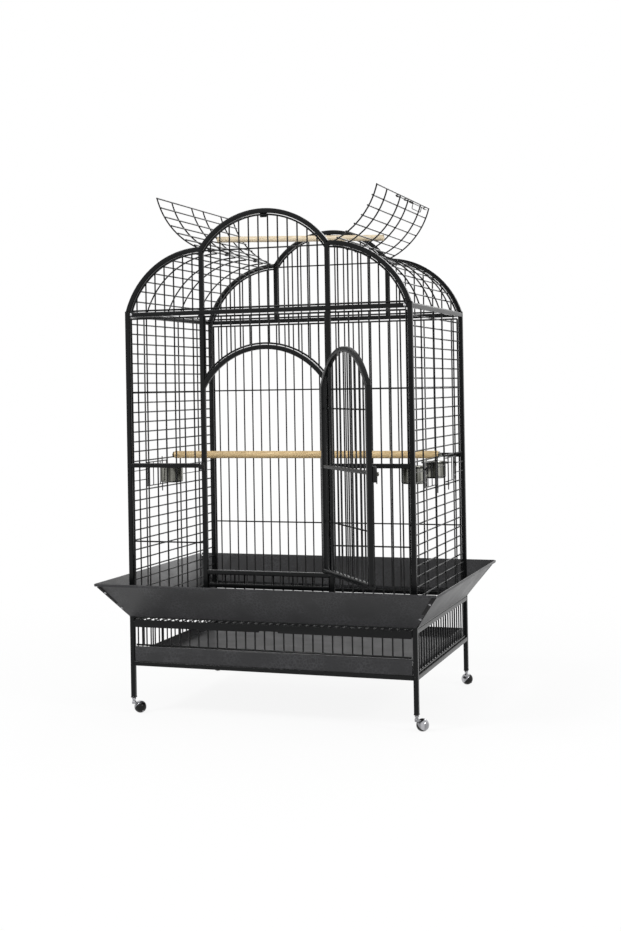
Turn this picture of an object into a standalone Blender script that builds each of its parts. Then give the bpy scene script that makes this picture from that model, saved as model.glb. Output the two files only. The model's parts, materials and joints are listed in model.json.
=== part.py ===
"""Dome-top bird cage on a caster stand, with its door and both roof flaps open.

Metres, +Z up, +X to the right and +Y to the rear. The pieces are placed round the cage's own
centre line, and the last step slides the whole cage so that the origin lies on the floor under
the middle of its outline.
"""

from math import acos, asin, atan2, cos, pi, radians, sin, tan

import bmesh
import bpy
from mathutils import Matrix, Vector

# Overall frame, measured between post centre lines
CAGE_WIDTH = 1.016
CAGE_DEPTH = 0.762
MID_POST_X = 0.227

# Heights of centre lines and edges above the floor, and the rises of the roof's arcs
LEG_BOTTOM_Z = 0.058
STAND_RAIL_Z = 0.178
STAND_TOP_Z = 0.338
TOP_RAIL_Z = 1.396
LOBE_RISE = 0.217
DOME_RISE = 0.120
LOBE_BLEND = radians(9.38)

# Stock
TUBE = 0.016
RAIL_TUBE = 0.0154
WIRE = 0.0038
EDGE_WIRE = 0.0064
SHEET = 0.0012
GAP = 0.0003
WELD = 0.0006
BITE = 0.003
FINER = 0.0004
ARM_WIRE = 0.0030
HOLDER_WIRE = 0.0034

# Bars, rods and cross wires
BAR_PITCH = 0.035
STAND_PITCH = 0.035
GRATE_PITCH = 0.026
ROD_PITCH = 0.0345
ROD_START_Z = 0.364
EDGE_INSET = 0.013
PANEL_WIRE_Y = (0.062, 0.244)
LOW_WIRE_Z = 0.605
HIGH_WIRE_DROP = 0.271
CROSSBAR_Z = 0.870
DOME_WIRE_DROP = 0.006
BAND_Z = 0.4615
BAND_HEIGHT = 0.013
TOP_EDGE_DROP = 0.007

# Door and its opening
SILL_Z = 0.505
OPENING_DROP = 0.246
OPENING_RISE = 0.122
DOOR_GAP = 0.003
DOOR_BAR = 0.012
DOOR_WIRE_RISE = 0.166
DOOR_WIRE_DROP = 0.088
DOOR_OPEN = radians(127.0)
HINGE_FORWARD = 0.0125
HINGE_ASIDE = 0.0015
HINGE_RISE = 0.120
HINGE_DROP = 0.063
HINGE_LENGTH = 0.030
HINGE_PIN = 0.0022
SLEEVE_INSIDE = 0.0026
SLEEVE_OUTSIDE = 0.0042
SLEEVE_LENGTH = 0.014
HINGE_EAR = 0.0030
HINGE_SHEET = 0.0020
HINGE_BORDER = 0.0035
LEAF_SHEET = 0.0025
LEAF_END = 0.0027
LOCK_Z = 0.865
LOCK_SIZE = (0.022, 0.014, 0.050)
LOCK_LEVER = 0.030
LOCK_LEVER_WIDE = 0.007
LOCK_LEVER_DEEP = 0.003
LOCK_KNOB = 0.0065
LOCK_KNOB_PROUD = 0.004
KEEPER_WIDE = 0.014
KEEPER_WALL = 0.003
KEEPER_LOW = 0.012
KEEPER_HIGH = 0.016
KEEPER_PLAY = 0.0012

# Roof flaps and their bolt
FLAP_OPEN = radians(104.0)
FLAP_MEETING = 0.0035
FLAP_ROD_PITCH = 0.038
FLAP_RODS = 6
HINGE_ROD = 0.0022
HINGE_STEP = 0.0055
SLEEVE_Y = (0.145, 0.300)
ROOF_DROP = 0.0028
ROOF_WIRE_Y = (0.055, 0.234)
ROOF_EDGE_IN = 0.019
ROOF_ROD_PITCH = 0.039
BOLT_DROP = 0.0115
BOLT_X = 0.0078
BOLT_RADIUS = 0.0018
BOLT_GAP = 0.0006
BOLT_START_Y = -0.075
BOLT_TIP_IN = 0.036
BOLT_GUIDE_Y = (-0.055, 0.055)
BOLT_GUIDE_IN = 0.041
BOLT_GUIDE_LONG = 0.008
BOLT_GUIDE_WALL = 0.005
BOLT_GUIDE_NEAR = 0.0030
BOLT_HANDLE_WIRE = 0.003
BOLT_HANDLE_Y = (0.170, 0.298)
BOLT_HANDLE_DROP = 0.020
BOLT_SPRING_Y = (0.120, 0.162)
BOLT_SPRING_RADIUS = 0.0040
CATCH_WIDTH = 0.024
CATCH_LEDGE = 0.014
CATCH_CLEAR = 0.0014
CATCH_ABOVE = 0.006
CATCH_BELOW = 0.010

# Seed guards: distance out from the post centre line, and height
GUARD_LINE = ((0.0089, 0.366), (0.0089, 0.347), (0.0980, 0.464), (0.0992, 0.456))
GUARD_TRIM = 0.0035
GUARD_WING = 0.014

# Grate and tray
LIP_HEIGHT = 0.020
NOTCH_WIDTH = 0.070
NOTCH_DEPTH = 0.0124
GRATE_DROP = 0.0122
GRATE_REAR_IN = 0.004
GRATE_TIES = (-0.130, 0.130)
APRON_EDGE_Z = 0.2430
TRAY_WALL = 0.032
TRAY_FACE = 0.052
TRAY_LEDGE = 0.010
SLIDE_GAP = 0.003

# Perches
INNER_PERCH_RADIUS = 0.0135
INNER_PERCH_Z = 0.889
PERCH_WASHER = 0.0115
PERCH_WASHER_THICK = 0.0016
PERCH_SHANK = 0.0024
PERCH_HEAD = 0.0050
PERCH_HEAD_HIGH = 0.0040
PLAY_PERCH_RADIUS = 0.011
PLAY_PERCH_OVER = (0.103, 0.084)
PLAY_PERCH_Y = 0.030
PERCH_RODS = (4, 5)

# Feeders
FEEDER_Y = 0.153
FEEDER_OPENING = 0.176
FEEDER_Z = (0.786, 0.874)
FEEDER_RODS = (13, 14)
FEEDER_HINGE_Y = 0.083
FEEDER_HINGE_OUT = 0.012
FEEDER_ROD = 0.0020
FEEDER_ROD_BELOW = 0.026
FEEDER_ROD_ABOVE = 0.013
EYE_INSIDE = 0.0024
EYE_OUTSIDE = 0.0042
EYE_LENGTH = 0.0036
CUP_IN = 0.056
CUP_RADIUS = 0.042
CUP_HEIGHT = 0.060
CUP_TOP_Z = 0.857
CUP_WALL = 0.0010
CUP_RIM = 0.0045
CUP_LIP = 0.0025
CUP_STEPS = 20
RING_WIRE = 0.004
RING_RADIUS = 0.0450
RING_ARM = 0.030
PULL_OUT = 0.0075
PULL_Y = 0.223
PULL_Z = 0.850
PULL_RADIUS = 0.009
PULL_WIRE = 0.0018
PULL_BORE = 0.0018
PULL_PLATE = 0.020
PULL_EYE = 0.0032
PULL_EYE_HIGH = 0.008

# Casters
BALL_RADIUS = 0.021
CASTER_TRAIL = 0.0264
AXLE_TILT = radians(40.0)
AXLE_RADIUS = 0.0030
AXLE_TOP = 0.0150
AXLE_GAP = 0.0004
HOOD_PROUD = 0.0006
HOOD_WALL = 0.0018
SPLIT_GAP = 0.0005
BOSS_RADIUS = 0.0056
BOSS_LOW = 0.0040
STEM_RADIUS = 0.0075
NECK_WIDE = 0.0050
ARM_LOW_Z = 0.0350
ARM_TOP_Z = 0.0450
CASTER_STEPS = 14
HOOD_ANGLES = (radians(30.0), radians(60.0))
BOWL_ANGLES = (radians(40.0), radians(80.0), radians(100.0), radians(120.0), radians(150.0))
CASTERS = (
    ("fl", -1, -1, radians(60.0), -1),
    ("fr", 1, -1, radians(60.0), 1),
    ("rl", -1, 1, radians(96.0), -1),
    ("rr", 1, 1, radians(96.0), -1),
)
CORNERS = (("fl", -1, -1), ("fr", 1, -1), ("rl", -1, 1), ("rr", 1, 1))
FEEDERS = (("right_front", 1, -1), ("right_rear", 1, 1), ("left_front", -1, -1))

# Worked out from the values above
HALF_WIDTH = CAGE_WIDTH / 2
HALF_DEPTH = CAGE_DEPTH / 2
HALF_TUBE = TUBE / 2
EDGE_HALF = 0.002
POST_TOP_Z = TOP_RAIL_Z + HALF_TUBE
RAIL_BOTTOM_Z = TOP_RAIL_Z - RAIL_TUBE / 2
BOTTOM_RAIL_Z = STAND_TOP_Z + GAP + RAIL_TUBE / 2
SIDE_RAIL_Z = STAND_TOP_Z - HALF_TUBE
TOP_EDGE_Z = RAIL_BOTTOM_Z - TOP_EDGE_DROP
GRATE_Z = STAND_TOP_Z - GRATE_DROP
ROD_COUNT = 1 + int((RAIL_BOTTOM_Z - ROD_START_Z) / ROD_PITCH)
HIGH_WIRE_Z = TOP_RAIL_Z - HIGH_WIRE_DROP
GRATE_RAIL_Z = GRATE_Z - GAP - RAIL_TUBE / 2
LAYER = (WIRE + GAP) / 2
KINK_Z = TOP_RAIL_Z + LOBE_RISE
DOME_TOP_Z = KINK_Z + DOME_RISE
DOME_WIRE_Z = KINK_Z - DOME_WIRE_DROP
LOBE_REACH = HALF_WIDTH - MID_POST_X
LOBE_RADIUS = (LOBE_REACH ** 2 + LOBE_RISE ** 2) / (2 * LOBE_RISE)
LOBE_CENTRE_Z = KINK_Z - LOBE_RADIUS
LOBE_START = acos(LOBE_REACH / LOBE_RADIUS) + LOBE_BLEND
DOME_RADIUS = (MID_POST_X ** 2 + DOME_RISE ** 2) / (2 * DOME_RISE)
DOME_CENTRE_Z = DOME_TOP_Z - DOME_RADIUS
FLAP_START = asin(MID_POST_X / DOME_RADIUS)
FLAP_RUN = DOME_RADIUS * (FLAP_START - asin(FLAP_MEETING / DOME_RADIUS))
BOLT_Z = DOME_TOP_Z - BOLT_DROP
BOLT_GUIDE_TOP = DOME_TOP_Z - WIRE / 2 + WELD
CATCH_LOW_Z = BOLT_Z - CATCH_BELOW
FLAP_EDGE_DEEP = 2 * WIRE + GAP
CATCH_LEDGE_Z = DOME_TOP_Z + WIRE / 2 - FLAP_EDGE_DEEP - CATCH_CLEAR
ROOF_EDGE_Y = HALF_DEPTH - ROOF_EDGE_IN
BOLT_ENDS = (BOLT_START_Y, HALF_DEPTH - BOLT_TIP_IN)
BOLT_GUIDES = (*BOLT_GUIDE_Y, HALF_DEPTH - BOLT_GUIDE_IN)
OPENING_SPRING_Z = TOP_RAIL_Z - OPENING_DROP
OPENING_HALF = MID_POST_X - HALF_TUBE
OPENING_RADIUS = (OPENING_HALF ** 2 + OPENING_RISE ** 2) / (2 * OPENING_RISE)
OPENING_CENTRE_Z = OPENING_SPRING_Z + OPENING_RISE - OPENING_RADIUS
DOOR_STILE_X = OPENING_HALF - DOOR_GAP - HALF_TUBE
DOOR_RADIUS = OPENING_RADIUS - TUBE - DOOR_GAP
DOOR_BOTTOM_Z = SILL_Z + TUBE + DOOR_GAP
DOOR_WIRE_Z = (DOOR_BOTTOM_Z + DOOR_WIRE_RISE, OPENING_SPRING_Z - DOOR_WIRE_DROP)
HINGE_Z = (DOOR_BOTTOM_Z + HINGE_RISE, OPENING_SPRING_Z - HINGE_DROP)
HINGE_X = OPENING_HALF - HINGE_ASIDE
HINGE_Y = -HALF_DEPTH - HINGE_FORWARD
CUP_X = HALF_WIDTH - CUP_IN
PULL_X = HALF_WIDTH + PULL_OUT
PLAY_PERCH_ENDS = (-MID_POST_X - PLAY_PERCH_OVER[0], MID_POST_X + PLAY_PERCH_OVER[1])
NOTCH_ANGLES = tuple(pi - pi * k / 6 for k in range(7))
RIGHT = Vector((1.0, 0.0, 0.0))
BACK = Vector((0.0, 1.0, 0.0))
UP = Vector((0.0, 0.0, 1.0))
TUBE_SIZE = (TUBE, TUBE, TUBE)
RAIL_SIZE = (RAIL_TUBE, RAIL_TUBE, RAIL_TUBE)
WIRE_SIZE = (WIRE, WIRE, WIRE)
STUB_SIZE = (WIRE - FINER, WIRE - FINER, WIRE - FINER)
ARM_SIZE = (ARM_WIRE, ARM_WIRE, ARM_WIRE)
HOLDER_SIZE = (HOLDER_WIRE, HOLDER_WIRE, HOLDER_WIRE)
EDGE_SIZE = (2 * EDGE_HALF, EDGE_WIRE, 2 * EDGE_HALF)
TOP_EDGE_SIZE = (2 * EDGE_HALF, EDGE_WIRE - FINER, 2 * EDGE_HALF)
ADD = "UNION"
CUT = "DIFFERENCE"


def material(name, colour, roughness, metallic):
    """A Principled material with a plain colour."""
    made = bpy.data.materials.new(name)
    made.use_nodes = True
    shader = made.node_tree.nodes["Principled BSDF"]
    shader.inputs["Base Color"].default_value = (*colour, 1.0)
    shader.inputs["Roughness"].default_value = roughness
    shader.inputs["Metallic"].default_value = metallic
    return made


def plane_point(origin, across, up, u, v):
    """The point u along across and v along up from origin."""
    return origin + across * u + up * v


def add_box(shape, low, high):
    """Adds a box between two corners."""
    centre = [(a + b) / 2 for a, b in zip(low, high)]
    size = [b - a for a, b in zip(low, high)]
    matrix = Matrix.Translation(centre) @ Matrix.Diagonal((*size, 1.0))
    bmesh.ops.create_cube(shape, size=1.0, matrix=matrix)


def add_prism(shape, outline, origin, across, up, depth):
    """Adds a prism: a closed outline of (u, v) points, extruded both ways along its normal."""
    normal = across.cross(up).normalized()
    flat = [plane_point(origin - normal * depth / 2, across, up, u, v) for u, v in outline]
    face = shape.faces.new([shape.verts.new(point) for point in flat])
    face.normal_update()
    if face.normal.dot(normal) > 0:
        face.normal_flip()
    grown = bmesh.ops.extrude_face_region(shape, geom=[face], use_keep_orig=True)
    moved = [item for item in grown["geom"] if isinstance(item, bmesh.types.BMVert)]
    bmesh.ops.translate(shape, verts=moved, vec=normal * depth)


def add_sweep(shape, path, side, width, depth, closed=False):
    """Adds a bar of width by depth along a flat path with mitred corners; side is its normal."""
    side = side.normalized()
    count = len(path)
    rings = []
    for index, point in enumerate(path):
        before = path[index - 1] if closed or index > 0 else None
        after = path[(index + 1) % count] if closed or index < count - 1 else None
        run_in = (point - before).normalized() if before is not None else (after - point).normalized()
        run_out = (after - point).normalized() if after is not None else run_in
        mitre = (side.cross(run_in) + side.cross(run_out)).normalized()
        stretch = 1.0 / mitre.dot(side.cross(run_in))
        corners = ((-1, -1), (1, -1), (1, 1), (-1, 1))
        ring = [point + mitre * (u * width / 2 * stretch) + side * (v * depth / 2) for u, v in corners]
        rings.append([shape.verts.new(corner) for corner in ring])
    pairs = list(zip(rings, rings[1:] + rings[:1])) if closed else list(zip(rings, rings[1:]))
    for near, far in pairs:
        for k in range(4):
            shape.faces.new((near[k], near[(k + 1) % 4], far[(k + 1) % 4], far[k]))
    if not closed:
        shape.faces.new(list(reversed(rings[0])))
        shape.faces.new(rings[-1])


def add_turned(shape, profile, centre, axis, steps):
    """Adds a solid of revolution: a profile of (radius, height) points turned about an axis."""
    axis = axis.normalized()
    start = axis.orthogonal().normalized()
    rings = []
    for radius, height in profile:
        if radius == 0:
            rings.append([shape.verts.new(centre + axis * height)])
            continue
        turned = [Matrix.Rotation(2 * pi * k / steps, 3, axis) @ start for k in range(steps)]
        rings.append([shape.verts.new(centre + axis * height + arm * radius) for arm in turned])
    closed = profile[0][0] != 0
    pairs = list(zip(rings, rings[1:] + rings[:1])) if closed else list(zip(rings, rings[1:]))
    for near, far in pairs:
        for k in range(steps):
            n = (k + 1) % steps
            corners = [near[k % len(near)], near[n % len(near)], far[n % len(far)], far[k % len(far)]]
            distinct = [corner for i, corner in enumerate(corners) if corner not in corners[:i]]
            shape.faces.new(distinct)


def arc_points(centre, across, up, radius, start, end, steps):
    """Points along an arc, with angles measured from across towards up."""
    angles = [start + (end - start) * k / steps for k in range(steps + 1)]
    return [plane_point(centre, across, up, radius * cos(a), radius * sin(a)) for a in angles]


def evenly(low, high, pitch):
    """Places for bars at about this pitch, with the same step to both ends."""
    gaps = max(1, round((high - low) / pitch))
    step = (high - low) / gaps
    return [low + step * k for k in range(1, gaps)]


def solid(name, shape, finish=None, at=(0.0, 0.0, 0.0)):
    """Makes an object of a shape given in cage coordinates, with its origin at a point."""
    origin = Vector(at)
    bmesh.ops.translate(shape, verts=shape.verts, vec=-origin)
    bmesh.ops.recalc_face_normals(shape, faces=shape.faces)
    mesh = bpy.data.meshes.new(name)
    shape.to_mesh(mesh)
    shape.free()
    made = bpy.data.objects.new(name, mesh)
    bpy.context.scene.collection.objects.link(made)
    made.location = origin
    if finish:
        mesh.materials.append(finish)
    return made


def combine(name, finish, first, *steps, at=(0.0, 0.0, 0.0)):
    """Welds closed shapes into one body: each step adds a shape to the first or cuts it out."""
    made = solid(name, first, finish, at)
    tools = []
    for operation, shape in steps:
        tool = solid("tool", shape)
        modifier = made.modifiers.new("weld", "BOOLEAN")
        modifier.solver = "EXACT"
        modifier.operation = operation
        modifier.object = tool
        tools.append(tool)
    graph = bpy.context.evaluated_depsgraph_get()
    mesh = bpy.data.meshes.new_from_object(made.evaluated_get(graph))
    mesh.name = name
    made.modifiers.clear()
    made.data = mesh
    mesh.materials.clear()
    mesh.materials.append(finish)
    for tool in tools:
        bpy.data.objects.remove(tool)
    return made


def smooth(made, angle=radians(40.0)):
    """Shades a round piece smooth, with its edges kept sharp."""
    made.data.shade_smooth()
    made.data.set_sharp_from_angle(angle=angle)
    return made


def add_bar(shape, start, end, size):
    """Adds a straight bar along X, Y or Z between two points on its centre line."""
    low = [min(a, b) - (s / 2 if a == b else 0.0) for a, b, s in zip(start, end, size)]
    high = [max(a, b) + (s / 2 if a == b else 0.0) for a, b, s in zip(start, end, size)]
    add_box(shape, low, high)


def add_loft(shape, lower, upper):
    """Adds a body between two outlines with the same number of points."""
    rings = [[shape.verts.new(point) for point in outline] for outline in (lower, upper)]
    count = len(lower)
    for k in range(count):
        n = (k + 1) % count
        shape.faces.new((rings[0][k], rings[0][n], rings[1][n], rings[1][k]))
    shape.faces.new(list(reversed(rings[0])))
    shape.faces.new(rings[1])


def turn(shape, centre, axis, angle):
    """Turns a shape about an axis through a point."""
    matrix = Matrix.Rotation(angle, 3, axis)
    bmesh.ops.rotate(shape, verts=shape.verts, cent=Vector(centre), matrix=matrix)


def strip_outline(points, thickness):
    """The closed outline of a bent sheet, from (u, v) points along its middle."""
    path = [Vector(point) for point in points]
    sides = ([], [])
    for index, point in enumerate(path):
        runs = []
        if index > 0:
            runs.append((point - path[index - 1]).normalized())
        if index < len(path) - 1:
            runs.append((path[index + 1] - point).normalized())
        normals = [Vector((-run.y, run.x)) for run in runs]
        mitre = sum(normals, Vector((0.0, 0.0))).normalized()
        offset = mitre * (thickness / 2 / mitre.dot(normals[0]))
        sides[0].append(point + offset)
        sides[1].append(point - offset)
    return sides[0] + list(reversed(sides[1]))


def front_rails(y, spans):
    """Square tube rails along X: each span is (left, right, height)."""
    shape = bmesh.new()
    for left, right, z in spans:
        add_bar(shape, (left, y, z), (right, y, z), RAIL_SIZE)
    return shape


def upright_wires(y, places, low, high):
    """Wires up a front or rear panel: low and high give the height of each end at x."""
    shape = bmesh.new()
    for x in places:
        add_bar(shape, (x, y, low(x)), (x, y, high(x)), WIRE_SIZE)
    return shape


def level(z):
    """A height that is the same everywhere."""
    return lambda x: z


def lobe_height(x, radius):
    """Height of a side lobe's arc at x, for the arc of this radius about the lobe's centre."""
    reach = abs(x) - MID_POST_X
    return LOBE_CENTRE_Z + (radius * radius - reach * reach) ** 0.5


def dome_height(x, radius):
    """Height of the middle dome's arc at x, for the arc of this radius about the dome's centre."""
    return DOME_CENTRE_Z + (radius * radius - x * x) ** 0.5


def opening_height(x, radius):
    """Height of the door opening's arc at x, for the arc of this radius about its centre."""
    return OPENING_CENTRE_Z + (radius * radius - x * x) ** 0.5


def opening_over(radius):
    """The height at each x of the arc of this radius about the opening's centre."""
    return lambda x: opening_height(x, radius)


def arch_path(y, radius, half, centre_z, steps):
    """An arc about (0, centre_z) in the plane at y, from x = half round the top to x = -half."""
    start = acos(half / radius)
    centre = Vector((0.0, y, centre_z))
    return arc_points(centre, RIGHT, UP, radius, start, pi - start, steps)


def stand_frame(name, side, finish):
    """Two legs, the two side rails between them and a fence of wires."""
    x = side * HALF_WIDTH
    reach = HALF_DEPTH - HALF_TUBE
    legs = bmesh.new()
    for y in (-HALF_DEPTH, HALF_DEPTH):
        add_bar(legs, (x, y, LEG_BOTTOM_Z), (x, y, STAND_TOP_Z), TUBE_SIZE)
    rails = bmesh.new()
    for z in (STAND_RAIL_Z, SIDE_RAIL_Z):
        add_bar(rails, (x, -reach - BITE, z), (x, reach + BITE, z), RAIL_SIZE)
    wires = bmesh.new()
    low = STAND_RAIL_Z + RAIL_TUBE / 2 - BITE
    high = SIDE_RAIL_Z - RAIL_TUBE / 2 + BITE
    for y in evenly(-reach, reach, STAND_PITCH):
        add_bar(wires, (x, y, low), (x, y, high), WIRE_SIZE)
    return combine(name, finish, legs, (ADD, rails), (ADD, wires))


def stand_front(finish):
    """The lower front rail, and the apron with its upper rail over the tray."""
    half = HALF_WIDTH - HALF_TUBE - GAP
    y = -HALF_DEPTH
    solid("stand_front_rail", front_rails(y, [(-half, half, STAND_RAIL_Z)]), finish)
    rail = front_rails(y, [(-half, half, GRATE_RAIL_Z)])
    edge = bmesh.new()
    edge_x = half - EDGE_INSET / 2
    add_bar(edge, (-edge_x, y, APRON_EDGE_Z), (edge_x, y, APRON_EDGE_Z), EDGE_SIZE)
    high = GRATE_RAIL_Z - RAIL_TUBE / 2 + BITE
    wires = upright_wires(y, evenly(-half, half, STAND_PITCH), level(APRON_EDGE_Z), level(high))
    combine("stand_front_apron", finish, rail, (ADD, edge), (ADD, wires))


def stand_rear(finish):
    """The two rear rails of the stand and the fence of wires between them."""
    half = HALF_WIDTH - HALF_TUBE - GAP
    y = HALF_DEPTH
    rails = front_rails(y, [(-half, half, STAND_RAIL_Z), (-half, half, GRATE_RAIL_Z)])
    low = STAND_RAIL_Z + RAIL_TUBE / 2 - BITE
    high = GRATE_RAIL_Z - RAIL_TUBE / 2 + BITE
    wires = upright_wires(y, evenly(-half, half, STAND_PITCH), level(low), level(high))
    combine("stand_rear_grille", finish, rails, (ADD, wires))


def floor_grate(finish):
    """Grate of wires on an edge frame, with a sheet lip that has a finger notch."""
    half = HALF_WIDTH - HALF_TUBE - SLIDE_GAP
    front = -HALF_DEPTH - RAIL_TUBE / 2 - GAP - SHEET / 2
    rear = HALF_DEPTH - GRATE_REAR_IN
    depth = 2 * WIRE + 2 * GAP
    middle = GRATE_Z + depth / 2
    top = GRATE_Z + depth - WIRE / 2
    bottom = GRATE_Z + WIRE / 2
    frame = bmesh.new()
    corners = [(-half, front), (half, front), (half, rear), (-half, rear)]
    inset = EDGE_HALF
    path = [Vector((x - inset if x > 0 else x + inset, y, middle)) for x, y in corners]
    add_sweep(frame, path, UP, 2 * EDGE_HALF, depth, closed=True)
    bars = bmesh.new()
    for x in evenly(-half, half, GRATE_PITCH):
        add_bar(bars, (x, front, top), (x, rear, top), WIRE_SIZE)
    ties = bmesh.new()
    for y in GRATE_TIES:
        add_bar(ties, (-half + inset, y, bottom), (half - inset, y, bottom), WIRE_SIZE)
    low = GRATE_Z - LIP_HEIGHT
    notch = [(NOTCH_WIDTH / 2 * cos(a), low + NOTCH_DEPTH * sin(a)) for a in NOTCH_ANGLES]
    outline = [(-half, middle), (-half, low)] + notch + [(half, low), (half, middle)]
    lip = bmesh.new()
    add_prism(lip, outline, Vector((0.0, front, 0.0)), RIGHT, UP, SHEET)
    combine("floor_grate", finish, frame, (ADD, bars), (ADD, ties), (ADD, lip))


def slide_tray(finish):
    """Sheet tray with a taller front face."""
    half = HALF_WIDTH - HALF_TUBE - SLIDE_GAP
    front = -HALF_DEPTH - RAIL_TUBE / 2
    rear = HALF_DEPTH - WIRE / 2 - SLIDE_GAP / 2
    low = STAND_RAIL_Z + RAIL_TUBE / 2 + GAP
    body = bmesh.new()
    add_box(body, (-half, front, low), (half, rear, low + TRAY_WALL))
    face = bmesh.new()
    add_box(face, (-half, front, low), (half, front + 2 * SHEET, low + TRAY_FACE))
    turned_edge = bmesh.new()
    edge = (half, front + TRAY_LEDGE, low + TRAY_FACE)
    add_box(turned_edge, (-half, front, low + TRAY_FACE - SHEET), edge)
    hollow = bmesh.new()
    inside = half - SHEET
    far = (inside, rear - SHEET, low + 2 * TRAY_FACE)
    add_box(hollow, (-inside, front + 2 * SHEET, low + SHEET), far)
    steps = ((CUT, hollow), (ADD, face), (ADD, turned_edge))
    combine("slide_tray", finish, body, *steps)


def seed_guard(name, quarter, finish):
    """One sloping guard: a tab against the rail, the slope and a turned-down edge."""
    along, out = (HALF_WIDTH, HALF_DEPTH) if quarter % 2 == 0 else (HALF_DEPTH, HALF_WIDTH)
    outline = strip_outline(GUARD_LINE, SHEET)
    ends = []
    for way in (-1, 1):
        ends.append([(way * (along + u - GUARD_TRIM), -out - u, v) for u, v in outline])
    shape = bmesh.new()
    add_loft(shape, *ends)
    turn(shape, (0.0, 0.0, 0.0), "Z", quarter * pi / 2)
    solid(name, shape, finish)


def guard_corner(name, x_side, y_side, finish):
    """Bent strip under the mitre of two guards."""
    (foot_u, foot_v), (top_u, top_v) = GUARD_LINE[1:3]
    slope = atan2(top_v - foot_v, top_u - foot_u)
    near = (SHEET / 2 + GAP) / sin(slope)
    far = near + SHEET / sin(slope)
    outlines = []
    for z in (foot_v + 0.006, top_v - 0.011):
        u = foot_u + (z - foot_v) / tan(slope)
        a = u + near
        b = u + far
        w = a - GUARD_WING
        plan = [(w, a), (a, a), (a, w), (b, w), (b, b), (w, b)]
        spots = [(x_side * (HALF_WIDTH + p), y_side * (HALF_DEPTH + q), z) for p, q in plan]
        outlines.append(spots)
    shape = bmesh.new()
    add_loft(shape, *outlines)
    solid(name, shape, finish)


def side_panel(name, side, feeders, finish):
    """Posts, rails, rods and upright wires of one side, with eyes for the feeder doors."""
    x = side * HALF_WIDTH
    inner = x - side * LAYER
    outer = x + side * LAYER
    reach = HALF_DEPTH - HALF_TUBE
    base = STAND_TOP_Z + GAP
    posts = bmesh.new()
    for y in (-HALF_DEPTH, HALF_DEPTH):
        add_bar(posts, (x, y, base), (x, y, POST_TOP_Z), TUBE_SIZE)
    rails = bmesh.new()
    for z in (BOTTOM_RAIL_Z, TOP_RAIL_Z - GAP):
        add_bar(rails, (x, -reach - BITE, z), (x, reach + BITE, z), RAIL_SIZE)
    rods = bmesh.new()
    for k in range(ROD_COUNT):
        if k not in FEEDER_RODS:
            z = ROD_START_Z + k * ROD_PITCH
            add_bar(rods, (inner, -reach - BITE, z), (inner, reach + BITE, z), WIRE_SIZE)
    uprights = bmesh.new()
    low = BOTTOM_RAIL_Z + RAIL_TUBE / 2 - BITE
    high = TOP_RAIL_Z - GAP - RAIL_TUBE / 2 + BITE
    spots = [way * y for y in PANEL_WIRE_Y for way in (-1, 1)]
    for y in spots:
        add_bar(uprights, (outer, y, low), (outer, y, high), WIRE_SIZE)
    stubs = bmesh.new()
    marks = sorted([-reach, reach] + spots)
    for near, far in zip(marks, marks[1:]):
        if any(near < way * FEEDER_Y < far for way in feeders):
            continue
        start = near - BITE if near == -reach else near + WIRE / 2 - WELD
        stop = far + BITE if far == reach else far - WIRE / 2 + WELD
        for k in FEEDER_RODS:
            z = ROD_START_Z + k * ROD_PITCH
            add_bar(stubs, (outer, start, z), (outer, stop, z), STUB_SIZE)
    arms = bmesh.new()
    eyes = bmesh.new()
    hinge_x = x + side * FEEDER_HINGE_OUT
    for way in feeders:
        y = way * FEEDER_HINGE_Y
        for k in (FEEDER_RODS[0] - 1, FEEDER_RODS[-1] + 1):
            z = ROD_START_Z + k * ROD_PITCH
            tip = hinge_x - side * (EYE_INSIDE + EYE_OUTSIDE) / 2
            add_bar(arms, (inner, y, z), (tip, y, z), ARM_SIZE)
            add_eye(eyes, Vector((hinge_x, y, z)), EYE_INSIDE, EYE_OUTSIDE, EYE_LENGTH, UP)
    steps = [(ADD, shape) for shape in (rails, rods, uprights, stubs, arms, eyes)]
    combine(name, finish, posts, *steps)


def add_eye(shape, centre, inside, outside, length, axis):
    """Adds a short sleeve."""
    half = length / 2
    profile = [(inside, -half), (outside, -half), (outside, half), (inside, half)]
    add_turned(shape, profile, centre, axis, 8)


def bay_parts(y, side):
    """Shapes of one side bay of a front or rear panel: bars and wires between its posts."""
    post = side * MID_POST_X
    edge = side * (HALF_WIDTH - EDGE_INSET)
    places = evenly(*sorted((post, side * HALF_WIDTH)), BAR_PITCH)
    inner = y + (LAYER if y < 0 else -LAYER)
    outer = y - (LAYER if y < 0 else -LAYER)
    return post, edge, places, inner, outer


def add_bars(steps, y, places, edge_z):
    """Adds the bars below and above the crossbar as two combs."""
    low = BOTTOM_RAIL_Z + RAIL_TUBE / 2 - BITE
    below = CROSSBAR_Z - RAIL_TUBE / 2 + BITE
    above = CROSSBAR_Z + RAIL_TUBE / 2 - BITE
    steps.append((ADD, upright_wires(y, places, level(low), level(below))))
    steps.append((ADD, upright_wires(y, places, level(above), level(edge_z))))


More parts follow.
